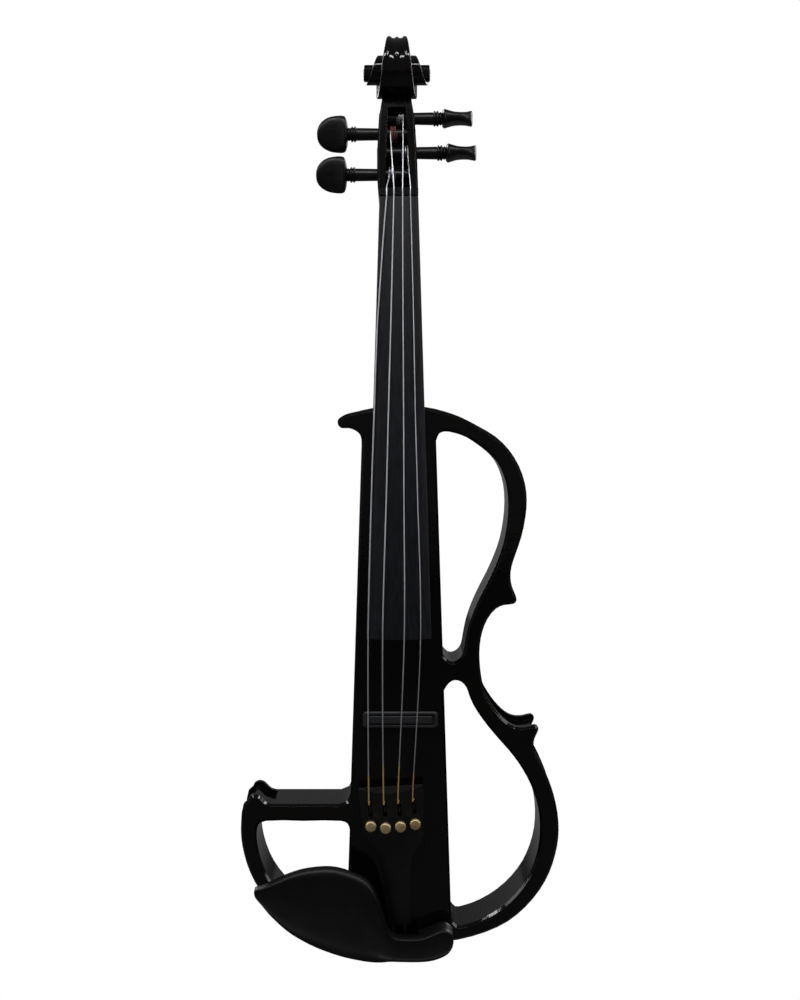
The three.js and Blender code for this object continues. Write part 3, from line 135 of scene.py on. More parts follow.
def start_material(name, colour, roughness, **sockets):
    """A new material with one shader, and its pieces' own coordinates."""
    material = emptied(bpy.data.materials.new(name))
    values = {"Base Color": linear(colour), "Roughness": roughness}
    values.update({key.replace("_", " "): value for key, value in sockets.items()})
    shader = add_node(material, "BsdfPrincipled", values)
    add_node(material, "OutputMaterial", links={"Surface": shader.outputs["BSDF"]})
    coordinates = add_node(material, "TexCoord").outputs["Object"]
    return material, shader, coordinates


def grain(material, coordinates, size, detail=2.0, stretch=(1, 1, 1)):
    """Noise whose spots are about the given size in millimetres, drawn out where the stretch is small."""
    scale = [share / (size * MM) for share in stretch]
    mapping = add_node(material, "Mapping", {"Scale": scale}, {"Vector": coordinates})
    noise = add_node(material, "TexNoise", {"Scale": 1.0, "Detail": detail},
                     {"Vector": mapping.outputs["Vector"]})
    return noise.outputs["Fac"]


def turns(material, coordinates, pitch, turned=(0, 0, 0)):
    """Bands across Z at the given pitch in millimetres, for what is wound round a string or runs in lines."""
    mapping = add_node(material, "Mapping", {"Rotation": turned}, {"Vector": coordinates})
    wave = add_node(material, "TexWave", {"Scale": WAVE_LENGTH / (pitch * MM)},
                    {"Vector": mapping.outputs["Vector"]},
                    wave_type="BANDS", bands_direction="Z", wave_profile="SIN")
    return wave.outputs["Fac"]


def spread(material, value, low, high, from_low=0.35, from_high=0.65):
    """The noise's usual range, spread from low to high."""
    ends = {"From Min": from_low, "From Max": from_high, "To Min": low, "To Max": high}
    node = add_node(material, "MapRange", ends, {"Value": value})
    return node.outputs["Result"]


def tint(material, shader, value, first, second, *limits):
    """Colours the shader from the first colour to the second by a pattern."""
    node = add_node(material, "Mix", {6: linear(first), 7: linear(second)},
                    {0: spread(material, value, 0, 1, *limits)}, data_type="RGBA")
    material.node_tree.links.new(node.outputs[2], shader.inputs["Base Color"])


def dull(material, shader, value, low, high):
    """Varies the shader's roughness from low to high by a pattern."""
    material.node_tree.links.new(spread(material, value, low, high), shader.inputs["Roughness"])


def relief(material, shader, value, depth, strength=1.0):
    """Raises the surface by a pattern; depth is its height in millimetres."""
    node = add_node(material, "Bump", {"Strength": strength, "Distance": depth * MM}, {"Height": value})
    material.node_tree.links.new(node.outputs["Normal"], shader.inputs["Normal"])


def polyester_lacquer(looks):
    """Black polyester lacquer, sprayed thick and buffed: a wet gloss with a faint orange peel."""
    material, shader, where = start_material("polyester_lacquer", "#060505", 0.07, IOR=1.5,
                                             Specular_IOR_Level=0.25)
    tint(material, shader, grain(material, where, 18), "#050404", "#080605")
    haze = grain(material, where, 30, detail=4)
    dull(material, shader, haze, 0.05, 0.1)
    relief(material, shader, grain(material, where, looks.orange_peel), 0.09, 0.7)
    return material


def dyed_ebony(looks):
    """Dyed hardwood, planed and oiled: near black with fine lighter pores along the grain and a low sheen."""
    material, shader, where = start_material("dyed_ebony", "#0f1013", 0.45, Specular_IOR_Level=0.14)
    pores = grain(material, where, 0.9, detail=3, stretch=(1, 1, 0.02))
    tint(material, shader, pores, "#0c0d11", "#15161b")
    dull(material, shader, pores, 0.36, 0.5)
    relief(material, shader, pores, 0.04, 0.4)
    return material


def turned_ebony(looks):
    """Dyed hardwood turned on a lathe and rubbed: satin with short pores across the shaft."""
    material, shader, where = start_material("turned_ebony", "#0a0a0b", 0.36, Specular_IOR_Level=0.25)
    pores = grain(material, where, 0.7, detail=3, stretch=(0.06, 1, 1))
    tint(material, shader, pores, "#070708", "#0e0e0f")
    dull(material, shader, pores, 0.3, 0.42)
    relief(material, shader, pores, 0.03, 0.3)
    return material


def moulded_composite(looks):
    """Glass-filled nylon, moulded in a spark-eroded tool: even black with a dense fine grain."""
    material, shader, where = start_material("moulded_composite", "#0a0a0a", 0.42, Specular_IOR_Level=0.22)
    skin = grain(material, where, 0.5, detail=3)
    tint(material, shader, grain(material, where, 12), "#080808", "#0d0d0d")
    dull(material, shader, skin, 0.36, 0.48)
    relief(material, shader, skin, 0.03, 0.35)
    return material


def moulded_abs(looks):
    """ABS, injection moulded: soft satin black with a shallow leather-like texture."""
    material, shader, where = start_material("moulded_abs", "#1c1c1f", 0.42, Specular_IOR_Level=0.35)
    skin = grain(material, where, 0.9, detail=2)
    tint(material, shader, grain(material, where, 15), "#191a1c", "#212124")
    relief(material, shader, skin, 0.04, 0.35)
    return material


def ribbon_steel(looks):
    """Flat steel ribbon wound on a string: bright, with a line at each turn, coarser than the real 0.2 mm,
    painted with shade at each line and lighter on each turn's crest.
    """
    material, shader, where = start_material("ribbon_steel", "#d2d4d8", 0.42, Metallic=1.0)
    ribbon = turns(material, where, 0.7)
    # Painted shade at the line between turns, lightening to a painted highlight on each turn's crest
    tint(material, shader, ribbon, "#a3a5aa", "#e6e8ec")
    relief(material, shader, ribbon, 0.03, 0.5)
    return material


def wound_silk(name, dark, light):
    """Silk thread, wound close and shellacked: a soft sheen with a line at each turn, drawn at 0.6 mm,
    painted with shade at each line and lighter on each turn's crest.
    """
    material, shader, where = start_material(name, light, 0.55, Sheen_Weight=0.25)
    thread = turns(material, where, 0.6, (0.35, 0, 0))
    # Painted shade between turns in the dark colour, lightening to the lit crest of each turn in the light
    # colour
    tint(material, shader, thread, dark, light)
    relief(material, shader, thread, 0.05, 0.6)
    return material


def golden_silk(looks):
    """Golden silk thread at the strings' lower ends."""
    # The first colour is painted shade between the turns, the second the silk lit on each turn's crest
    return wound_silk("golden_silk", "#7a5a22", "#b8923f")


def red_silk(looks):
    """Red silk thread where the D string winds on its peg."""
    # The first colour is painted shade between the turns, the second the silk lit on each turn's crest
    return wound_silk("red_silk", "#4a1116", "#8c2a30")


def turned_brass(looks):
    """Brass, turned and clear coated: pale gold with faint tool marks and a little dulling."""
    material, shader, where = start_material("turned_brass", "#c6b188", 0.5, Metallic=1.0)
    marks = grain(material, where, 0.4, detail=2, stretch=(1, 1, 0.2))
    tint(material, shader, grain(material, where, 2), "#b9a374", "#d2be98")
    dull(material, shader, marks, 0.42, 0.56)
    relief(material, shader, marks, 0.02, 0.3)
    return material


def blackened_steel(looks):
    """Spring steel, chemically blackened and oiled: dark grey with a metal's sheen, worn at the fork."""
    material, shader, where = start_material("blackened_steel", "#2a2a2c", 0.4, Metallic=1.0)
    tint(material, shader, grain(material, where, 1.2), "#1c1c1e", "#38383b")
    relief(material, shader, grain(material, where, 0.4), 0.01, 0.4)
    return material


def chrome_plate(looks):
    """Brass plated with chrome: a clean bluish mirror with hairline scratches from the turning key."""
    material, shader, where = start_material("chrome_plate", "#c4c7cc", 0.09, Metallic=1.0)
    scratches = grain(material, where, 0.4, detail=3, stretch=(1, 0.05, 1))
    dull(material, shader, scratches, 0.05, 0.16)
    relief(material, shader, scratches, 0.005, 0.3)
    return material


def nickel_plate(looks):
    """Turned sleeve plated with nickel: warm grey metal with ring marks, worn where plugs go in."""
    material, shader, where = start_material("nickel_plate", "#b5b1a8", 0.24, Metallic=1.0)
    marks = grain(material, where, 0.5, detail=2, stretch=(0.1, 1, 1))
    tint(material, shader, marks, "#9c988f", "#c3bfb6")
    dull(material, shader, marks, 0.18, 0.32)
    return material


def pressed_cork(looks):
    """Cork sheet, cut from pressed granules: dry tan with 1 mm grains and dark specks between them."""
    material, shader, where = start_material("pressed_cork", "#a97f52", 0.92)
    granule = 1.0
    mapping = add_node(material, "Mapping", {"Scale": [1 / (granule * MM)] * 3}, {"Vector": where})
    cells = add_node(material, "TexVoronoi", {"Scale": 1.0}, {"Vector": mapping.outputs["Vector"]})
    tint(material, shader, cells.outputs["Distance"], "#b98e5f", "#6f4a2a", 0.3, 0.8)
    relief(material, shader, cells.outputs["Distance"], 0.1, -0.5)
    return material


def nylon_line(looks):
    """Nylon monofilament, drawn and dyed: smooth black with a soft gloss and slight waviness."""
    material, shader, where = start_material("nylon_line", "#0c0c0d", 0.3, IOR=1.53)
    tint(material, shader, grain(material, where, 4), "#090909", "#121213")
    relief(material, shader, grain(material, where, 2), 0.03, 0.3)
    return material


def battery_wrapper(looks):
    """Steel can in a printed film: plain dark grey, glossy, with faint wrinkles at its ends."""
    material, shader, where = start_material("battery_wrapper", "#2b2c2f", 0.3)
    tint(material, shader, grain(material, where, 20), "#242528", "#323337")
    relief(material, shader, grain(material, where, 3), 0.05, 0.25)
    return material


def plated_contacts(looks):
    """Phosphor bronze strip, pressed and flash plated: warm yellow metal with rubbed spots."""
    material, shader, where = start_material("plated_contacts", "#c3a263", 0.3, Metallic=1.0)
    tint(material, shader, grain(material, where, 1), "#ab8a4e", "#d0b176")
    return material


def solder_mask(looks):
    """Glass epoxy board under green solder mask: semi-gloss with the traces just raised beneath it."""
    material, shader, where = start_material("solder_mask", "#0d3a24", 0.35)
    traces = turns(material, where, 2.5, (0, math.pi / 4, 0))
    tint(material, shader, traces, "#0a3320", "#12482d")
    relief(material, shader, traces, 0.04, 0.5)
    return material


def finish(make):
    """The material that a finish function makes, made once."""
    found = bpy.data.materials.get(make.__name__)
    return found or make(bpy.context.scene.violin_looks)


# Making pieces

def merged_copy(node):
    """The mesh of a CAD node, with its loose triangles joined and its flat faces whole."""
    bm = bmesh.new()
    bm.from_mesh(NODES[node].data)
    bmesh.ops.remove_doubles(bm, verts=bm.verts, dist=NODE_MERGE * MM)
    bmesh.ops.dissolve_limit(bm, angle_limit=math.radians(FLAT_ANGLE), verts=bm.verts, edges=bm.edges)
    return bm


def bevelled(bm, edges, width, segments):
    """Rounds the given edges over a width in millimetres."""
    bmesh.ops.bevel(bm, geom=edges, offset=width * MM, offset_type="OFFSET", segments=segments, profile=0.5,
                    affect="EDGES", material=-1, clamp_overlap=True)


def round_edges(bm, width, segments, sharp=SHARP_EDGE):
    """Rounds every edge that is sharper than the given angle in degrees."""
    edges = [e for e in bm.edges if len(e.link_faces) == 2 and e.calc_face_angle() > math.radians(sharp)]
    bevelled(bm, edges, width, segments)


def cut_off(bm, height, side=1):
    """Cuts away what lies above a height, or below it with side -1, and closes the mesh there."""
    cut = bmesh.ops.bisect_plane(bm, geom=[*bm.verts, *bm.edges, *bm.faces], plane_co=at(0, 0, height),
                                 plane_no=(0, 0, side), clear_outer=True)["geom_cut"]
    bmesh.ops.holes_fill(bm, edges=[e for e in cut if isinstance(e, bmesh.types.BMEdge)])
    return bm


def mesh_of(name, bm):
    """A new mesh of what a bmesh holds, which is freed."""
    mesh = bpy.data.meshes.new(name)
    bm.to_mesh(mesh)
    bm.free()
    return mesh


def linked(name, data):
    """A new object in the scene."""
    added = bpy.data.objects.new(name, data)
    bpy.context.scene.collection.objects.link(added)
    return added


def new_piece(name, bm, make, body, replaced=(), smooth=SMOOTH_ANGLE):
    """Links a finished mesh, gives it its material and lets it ride on its body."""
    mesh = mesh_of(name, bm)
    mesh.shade_smooth()
    mesh.set_sharp_from_angle(angle=math.radians(smooth))
    mesh.materials.append(finish(make))
    piece = linked(name, mesh)
    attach(piece, body)
    if replaced:
        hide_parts(*replaced)
    return piece


def weigh_normals(piece):
    """Keeps flat faces flat beside their rounded edges."""
    piece.modifiers.new("flat faces", "WEIGHTED_NORMAL").keep_sharp = True
    return piece


def dressed(node, name, make, width=0.3, segments=2):
    """A piece with the CAD node's shape, its edges rounded as the real one's are."""
    bm = merged_copy(node)
    if width:
        round_edges(bm, width, segments)
    piece = new_piece(name, bm, make, NODES[node]["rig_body"], (node,))
    return weigh_normals(piece)


def lofted(rings):
    """A closed skin through rings of as many points each: a face whose edge is drawn out ring by ring."""
    bm = bmesh.new()
    row = [bm.verts.new(place) for place in rings[0]]
    edges = list(bm.faces.new(row).edges)
    for ring in rings[1:]:
        drawn = bmesh.ops.extrude_edge_only(bm, edges=edges)["geom"]
        fresh = {v for v in drawn if isinstance(v, bmesh.types.BMVert)}
        row = [next(e.other_vert(v) for e in v.link_edges if e.other_vert(v) in fresh) for v in row]
        for vert, place in zip(row, ring):
            vert.co = place
        edges = [e for e in drawn if isinstance(e, bmesh.types.BMEdge) and all(v in fresh for v in e.verts)]
    bm.faces.new(row)
    bmesh.ops.recalc_face_normals(bm, faces=bm.faces)
    return bm


def spun(profile, base, axis, steps=48):
    """A turned body: profile pairs are the distance along the axis and the radius, in millimetres."""
    bm = bmesh.new()
    side = axis.orthogonal().normalized()
    verts = [bm.verts.new(base + (axis * along + side * radius) * MM) for along, radius in profile]
    edges = [bm.edges.new(pair) for pair in zip(verts, verts[1:])]
    bmesh.ops.spin(bm, geom=verts + edges, cent=base, axis=axis, angle=math.tau, steps=steps, use_merge=True)
    bmesh.ops.remove_doubles(bm, verts=bm.verts, dist=TURNED_MERGE * MM)
    bmesh.ops.recalc_face_normals(bm, faces=bm.faces)
    return bm


def joined(*parts):
    """Several meshes in one."""
    whole = bmesh.new()
    for part in parts:
        mesh = mesh_of("part", part)
        whole.from_mesh(mesh)
        bpy.data.meshes.remove(mesh)
    return whole


def curve_point(before, a, b, after, t):
    """The place the share t of the way from a to b, on a smooth curve that their neighbours bend."""
    return 0.5 * (2 * a + (b - before) * t + (2 * before - 5 * a + 4 * b - after) * t * t
                  + (3 * a - before - 3 * b + after) * t ** 3)


def smooth_through(points, steps, closed=False):
    """Points on a smooth curve through the given ones."""
    if closed:
        ends = [points[-1], *points, *points[:2]]
    else:
        ends = [points[0] * 2 - points[1], *points, points[-1] * 2 - points[-2]]
    fours = zip(ends, ends[1:], ends[2:], ends[3:])
    out = [curve_point(*four, k / steps) for four in fours for k in range(steps)]
    return out if closed else [*out, points[-1]]


def between(stations, place):
    """The value at a place between the stations of a list of pairs."""
    for (low, start), (high, end) in zip(stations, stations[1:]):
        if place <= high:
            return mix(start, end, max(0.0, place - low) / (high - low))
    return stations[-1][1]


def reached(span, place):
    """How far a place has come along a span, from 0 to 1."""
    return min(1.0, max(0.0, (place - span[0]) / (span[1] - span[0])))


def tube(points, diameter, sides=10):
    """A round tube through points in metres, closed at both ends, with its diameter in millimetres."""
    rings = []
    across = None
    for k, place in enumerate(points):
        along = (points[min(k + 1, len(points) - 1)] - points[max(k - 1, 0)]).normalized()
        across = (across - along * across.dot(along) if across else along.orthogonal()).normalized()
        up = along.cross(across)
        rings.append([place + (across * math.cos(math.tau * n / sides) + up * math.sin(math.tau * n / sides))
                      * (diameter / 2 * MM) for n in range(sides)])
    return lofted(rings)


# The violin's own sizes, in millimetres from the body's front face and bottom edge

BOARD_TOP, BOARD_END = 476.0, 202.7
BOARD_FRONT = (1.2, 22.6)
BOARD_CROWN = 42.0
BOARD_ROUND, BOARD_SMOOTH = 0.4, 24.0
NUT_LENGTH, NUT_RISE = 4.4, 0.7
GAP = 0.3
# Each peg's side, where -1 is the bass side, its height and depth, how far its thumb and tip stand from the
# middle, the degrees it is turned by, its string's thickness and where that string's turns start
PEGS = {
    "g": {"side": -1, "height": 490.9, "depth": 18.0, "reach": 32.5, "tip": 11.6, "turned": 77, "wire": 0.85,
          "start": 6.2},
    "d": {"side": -1, "height": 516.6, "depth": 22.0, "reach": 32.0, "tip": 10.5, "turned": 79, "wire": 0.8,
          "start": 5.2},
    "a": {"side": 1, "height": 526.6, "depth": 24.0, "reach": 26.9, "tip": 12.5, "turned": 0, "wire": 0.7,
          "start": 2.7},
    "e": {"side": 1, "height": 504.7, "depth": 20.0, "reach": 29.2, "tip": 13.7, "turned": 0, "wire": 0.6,
          "start": 5.6},
}
PEG_RADIUS, PEG_TIP_RADIUS, PEG_TIP_CHAMFER = 3.95, 3.3, 0.3
# Along the peg from the start of its collar: distance and radius of the beads and of the neck behind them
PEG_BEADS = (
    (0, 3.95), (0.2, 4.45), (0.55, 4.8), (1.05, 4.8), (1.4, 4.45), (1.6, 4.0), (1.8, 4.0), (2.0, 4.45),
    (2.35, 4.8), (2.85, 4.8), (3.2, 4.45), (3.4, 3.9), (3.9, 3.7), (4.3, 4.1), (4.8, 4.1), (5.2, 3.6),
    (7.0, 3.4),
)
PEG_COLLAR = 5.2
THUMB_LENGTH, THUMB_HALF_WIDTH, THUMB_HALF_THICKNESS = 19.5, 11.4, 5.6
# Along the thumb from its shaft side: place, half width and half thickness as shares
THUMB_SHARES = (
    (0, 0.3, 0.52), (0.025, 0.64, 0.8), (0.09, 0.93, 0.98), (0.2, 1, 0.86), (0.38, 0.99, 0.68),
    (0.58, 0.93, 0.62), (0.76, 0.79, 0.67), (0.89, 0.6, 0.78), (0.97, 0.38, 0.84), (1, 0.16, 0.6),
)
THUMB_SQUARENESS = 2.5
THUMB_SIDES, THUMB_STEPS = 32, 5
# How far the pegbox and the scroll stand to the bass side: pairs of height and distance
HEAD_SHIFT = ((478.0, 0.0), (483.0, 1.0), (536.0, 1.4), (577.0, 1.2))
WINDING_TURNS, WINDING_PITCH, WINDING_STEPS = 3, 1.3, 32
STRING_STEPS, WIRE_SMOOTH, SILK_THICKNESS = 28, 80.0, 0.06
# Above its peg's axis: where a string starts, and where it turns towards the nut
STRING_LEAD = (1, -3)
NUT_SIDES = {"g": -7.5, "d": -3.1, "a": 2.3, "e": 7.1}
# Height and side of each string along the board
ROUTES = {
    "g": [(447, -9.8), (411, -12.3), (393, -13.4), (340, -15.3), (292, -16.9), (204, -19)],
    "d": [(411, -4.6), (340, -6.5), (292, -7.7), (204, -10)],
    "a": [(411, 2.5), (340, 2.9), (292, 3.1), (204, 3.3)],
    "e": [(411, 8.8), (340, 10.2), (292, 11.5), (204, 13.4)],
}
TAIL_TILT, TAIL_PIVOT = 0.061, (0.5, 16.0)
TAIL_LENGTH = 91.0
TAIL_TOP_HALF, TAIL_FRONT = 20.4, (9.0, 15.2)
TAIL_CROWN, TAIL_WALL = 4.6, 2.4
TAIL_ROUND = 0.4
# How far the middle of the upper edge sags, and how near to that edge a vertex belongs to it
TAIL_SAG, TAIL_EDGE = 2.6, 0.1
# Along the tailpiece from its foot: place and half width as shares
TAIL_SHARES = ((0, 0.36), (0.06, 0.385), (0.22, 0.41), (0.42, 0.435), (0.5, 0.53), (0.555, 0.69), (0.6, 0.83),
               (0.65, 0.91), (0.78, 0.96), (0.95, 1), (1, 1))
TUNER_SPACING, TUNER_HEIGHT = 9.3, 68.5
TUNER_HEAD_LENGTH, TUNER_SHANK, TUNER_SIDES = 3.6, 1.2, 40
# Along a tuner's head from its face: distance and radius, with a groove round its rim
TUNER_HEAD = (
    (0, 0), (0, 2.7), (0.12, 2.95), (0.35, 3.2), (0.75, 3.4), (0.85, 3.2), (1.05, 3.2), (1.15, 3.4),
    (3.1, 3.4), (3.4, 3.25), (TUNER_HEAD_LENGTH, 2.9),
)
# How far each screw's head stands off the tailpiece, as it is screwed in
TUNER_RISE = {"g": 3.6, "d": 6.8, "a": 5.6, "e": 4.6}
SLOT_HEIGHT, SLOT_LENGTH = 78.5, 11.0
# Length of each string's golden silk above the tailpiece
SILK_RISE = {"g": 10.6, "d": 16.7, "a": 16.7, "e": 9.2}

SCROLL_DEPTH, SCROLL_HEIGHT = 24.0, 553.6
SCROLL_RADIUS, SCROLL_HALF_WIDTH = 23.4, 21.0
SCROLL_EYE, SCROLL_CORNER = 4.4, 0.9
# Radius and width of the volute as shares, for each quarter turn from the throat over the top and inwards
VOLUTE_RADII = (0.96, 0.98, 1, 0.93, 0.637, 0.573, 0.513, 0.37, 0.275, 0.27, 0.265)
VOLUTE_WIDTHS = (0.44, 0.34, 0.28, 0.44, 0.6, 0.6, 0.58, 0.76, 0.92, 0.96, 0.98)
# Sections in each quarter turn, those in a whole turn of quarters, and how deep a turn sits in the next one
VOLUTE_STEPS, WHOLE_TURN, TURN_OVERLAP = 12, 4, 1.6
# Along the eye's button from its face: distance, and radius as a share
EYE_BUTTON = ((0, 0), (0, 0.7), (0.3, 0.9), (1.0, 1))
CORNER_STEPS, FLUTE_STEPS = 4, 10
FLUTE_DEPTH, FLUTE_RIM, FLUTE_FULLNESS = 1.2, 1.0, 0.8
# How low the ridge between the flutes lies, as a share of their depth
RIDGE_DROP = 0.15
# Quarter turns at which the two flutes begin and have ended running out
FLUTE_END = (2.7, 3.3)
THROAT_CUT, SCROLL_FOOT = 537.0, 533.2
PEGBOX_HEIGHT, PEGBOX_FRONT = (481.0, 536.0), (2.6, 16.5)
PEGBOX_ROUND, PEGBOX_SHARP = 0.5, 35.0
CHEEK_ROUND, CHEEK_SEGMENTS = 1.2, 4
# Where the cheeks' front edges lie along the pegbox, as shares, and how near its front and upright they are
CHEEK_SPAN, CHEEK_NEAR, CHEEK_UPRIGHT = (0.03, 0.95), 0.8, 0.8

CHIN_MIDDLE, CHIN_HALF_LENGTH = -27.6, 62.0
CHIN_BREADTH, CHIN_DROP = 65.0, 4.0
CHIN_SEAT, CHIN_RIM, CHIN_PLATE = 2.3, 27.0, 8.5
CHIN_DISH, CHIN_BACK_LOW = 4.5, 0.6
CHIN_TAIL_ROOM, CHIN_TAIL_DEPTH = 12.1, -11.0
CHIN_PAD_TOP, CHIN_PAD_ROUND = 10.4, 0.2
CHIN_STEPS, CHIN_ROOM_STEP, CHIN_SMOOTH = 5, 0.05, 50.0
# Along the chin rest from its left tip to its right end: place, lower edge, upper edge and front as shares
CHIN_SHARES = (
    (-1.012, 0.73, 0.752, 0.94), (-0.995, 0.685, 0.772, 0.98), (-0.93, 0.607, 0.793, 1),
    (-0.84, 0.497, 0.834, 1), (-0.69, 0.357, 0.9, 1), (-0.54, 0.26, 0.948, 1), (-0.38, 0.185, 0.973, 1),
    (-0.22, 0.129, 0.975, 1), (-0.07, 0.087, 0.94, 1), (0.08, 0.059, 0.878, 1), (0.17, 0.046, 0.796, 0.98),
    (0.235, 0.037, 0.665, 0.94), (0.275, 0.031, 0.53, 0.89), (0.306, 0.026, 0.43, 0.84),
    (0.336, 0.022, 0.345, 0.79), (0.38, 0.016, 0.28, 0.74), (0.44, 0.01, 0.25, 0.71),
    (0.56, 0.006, 0.243, 0.7), (0.68, 0.006, 0.25, 0.69), (0.775, 0.014, 0.284, 0.68),
    (0.86, 0.032, 0.316, 0.65), (0.92, 0.054, 0.32, 0.62), (0.96, 0.083, 0.3, 0.6), (0.99, 0.126, 0.27, 0.56),
    (1.004, 0.17, 0.235, 0.5),
)
# Across the chin rest's face from its lower edge: place, and how far the dish has sunk there, as shares
CHIN_FACE = ((0.06, 0), (0.2, 0.55), (0.5, 1), (0.78, 0.6), (0.93, 0))
# On its back: depth on the free plate and on the arm, then height on each, as shares
CHIN_BACK = ((0.15, 0.5, 0.75, 0.97), (0.6, 1, 0.45, 0.92))
# Where the plate begins to reach back to the body, and where its arm does, along it as shares
CHIN_SEATED = (-0.55, -0.2)
CHIN_ARM = (0.3, 0.44)

# The soft boxes: where each stands and aims, and its width and height, in metres, and its power in watts
LAMPS = {
    "softbox_above": ((0.0, -0.9, 0.95), (0, 0, -0.1), (1.0, 0.12), 11.0),
    "softbox_high_left": ((-0.95, -0.55, 0.85), (0, 0, -0.1), (0.15, 0.5), 5.0),
    "softbox_high_right": ((0.95, -0.55, 0.85), (0, 0, -0.1), (0.15, 0.5), 5.0),
    "softbox_left": ((-1.1, -0.5, 0.0), (0, 0, -0.3), (0.3, 0.7), 3.0),
    "softbox_right": ((1.1, -0.3, 0.1), (0, 0, -0.3), (0.3, 0.7), 3.0),
    "softbox_back_left": ((-0.7, 1.2, 0.3), (0, 0, -0.3), (0.5, 0.9), 9.0),
    "softbox_back_right": ((0.9, 1.0, 0.3), (0, 0, -0.3), (0.5, 0.9), 9.0),
}
WHITE = (1, 1, 1, 1)
# Half the floor's side in metres, and the width of the camera's sensor in millimetres
FLOOR_HALF, SENSOR_WIDTH = 4.0, 36.0


def crown_drop(across):
    """How far the board's crown falls back beside its middle."""
    return BOARD_CROWN - math.sqrt(BOARD_CROWN ** 2 - across ** 2)


def board_front(height):
    """The depth of the board's crest at a height, in front of the body."""
    return mix(*BOARD_FRONT, (BOARD_TOP - height) / (BOARD_TOP - BOARD_END))


def tail_half(height):
    """Half the tailpiece's width at a height above its foot."""
    return TAIL_TOP_HALF * between(TAIL_SHARES, height / TAIL_LENGTH)


def tail_surface(across, height):
    """The depth of the tailpiece's face, which is negative in front of the body."""
    half = tail_half(height)
    fall = TAIL_CROWN * (across / half) ** 2 * (half / TAIL_TOP_HALF)
    return fall - mix(*TAIL_FRONT, height / TAIL_LENGTH)


def on_tail(across, depth, height):
    """A point drawn on the straight tailpiece, turned with it."""
    turned = Matrix.Rotation(-TAIL_TILT, 3, "Y") @ Vector((across, depth, height))
    return at(turned.x + TAIL_PIVOT[0], turned.y, turned.z + TAIL_PIVOT[1])


def tuner_across(string):
    """Where a string's tuner stands beside the tailpiece's middle."""
    return (STRINGS.index(string) - 1.5) * TUNER_SPACING


class ViolinLooks(bpy.types.PropertyGroup):
    """Sizes and finishes of the violin that a user may change."""
    orange_peel: FloatProperty(
        name="Orange peel", description="Spacing of the lacquer's ripples, in millimetres",
        default=2.2, min=0.5, max=10.0)
    edge_round: FloatProperty(
        name="Body edge", description="Rounding of the body's edges, in millimetres",
        default=0.9, min=0.05, max=1.5)
    silk_scale: FloatProperty(
        name="Silk length", description="Scale of the golden silk's lengths",
        default=1.0, subtype="FACTOR", min=0.3, max=3.0)


class ViolinStage(bpy.types.PropertyGroup):
    """The studio around the violin."""
    lens: FloatProperty(
        name="Lens", description="Focal length of the camera, in millimetres",
        default=50.0, min=10.0)
    camera_place: FloatVectorProperty(
        name="Camera", description="Where the camera stands",
        default=(0.0007, -0.893, -0.1766), subtype="XYZ", unit="LENGTH")
    camera_pitch: FloatProperty(
        name="Camera pitch", description="The camera's tilt from straight down",
        default=math.radians(85.27), subtype="ANGLE", unit="ROTATION")
    room_light: FloatProperty(
        name="Room light", description="Strength of the even light from all sides",
        default=0.12, min=0.0, max=2.0)
    mirrored_white: FloatProperty(
        name="Mirrored white", description="Share of the white surround that gloss mirrors",
        default=0.03, subtype="FACTOR", min=0.0, max=1.0)
    floor_drop: FloatProperty(
        name="Floor drop", description="How far the floor lies below the hanging violin",
        default=0.2, subtype="DISTANCE", unit="LENGTH")
    floor_colour: FloatVectorProperty(
        name="Floor", description="Colour in which the pale floor is mirrored",
        default=linear("#5a5a5a")[:3], subtype="COLOR", min=0.0, max=1.0)


class VIOLIN_OT_body(bpy.types.Operator):
    """Lacquers the open body and rounds its edges"""
    bl_idname = "violin.body"
    bl_label = "Body"

    def execute(self, context):
        looks = context.scene.violin_looks
        dressed("body_frame", "skeleton_body", polyester_lacquer,
                width=looks.edge_round, segments=3)
        return {"FINISHED"}


def cheek_edges(bm):
    """The long front edges of the pegbox's two cheeks."""
    found = []
    for edge in bm.edges:
        a, b = (v.co / MM + Vector((0, HANG_DEPTH, HANG_HEIGHT)) for v in edge.verts)
        middle = (a + b) / 2
        share = (middle.z - PEGBOX_HEIGHT[0]) / (PEGBOX_HEIGHT[1] - PEGBOX_HEIGHT[0])
        on_front = abs(middle.y - mix(*PEGBOX_FRONT, share)) < CHEEK_NEAR
        upright = abs((b - a).normalized().z) > CHEEK_UPRIGHT
        sharp = len(edge.link_faces) == 2 and edge.calc_face_angle() > math.radians(PEGBOX_SHARP)
        if CHEEK_SPAN[0] < share < CHEEK_SPAN[1] and on_front and upright and sharp:
            found.append(edge)
    return found


def head_shifted(bm):
    """Moves the part of a mesh that lies above the nut to where the head stands."""
    for vert in bm.verts:
        vert.co.x -= between(HEAD_SHIFT, vert.co.z / MM + HANG_HEIGHT) * MM
    return bm


def eased(values, place):
    """A smooth value between the entries of an evenly spaced list."""
    k = min(int(place), len(values) - 2)
    four = (values[min(max(n, 0), len(values) - 1)] for n in range(k - 1, k + 3))
    return curve_point(*four, place - k)


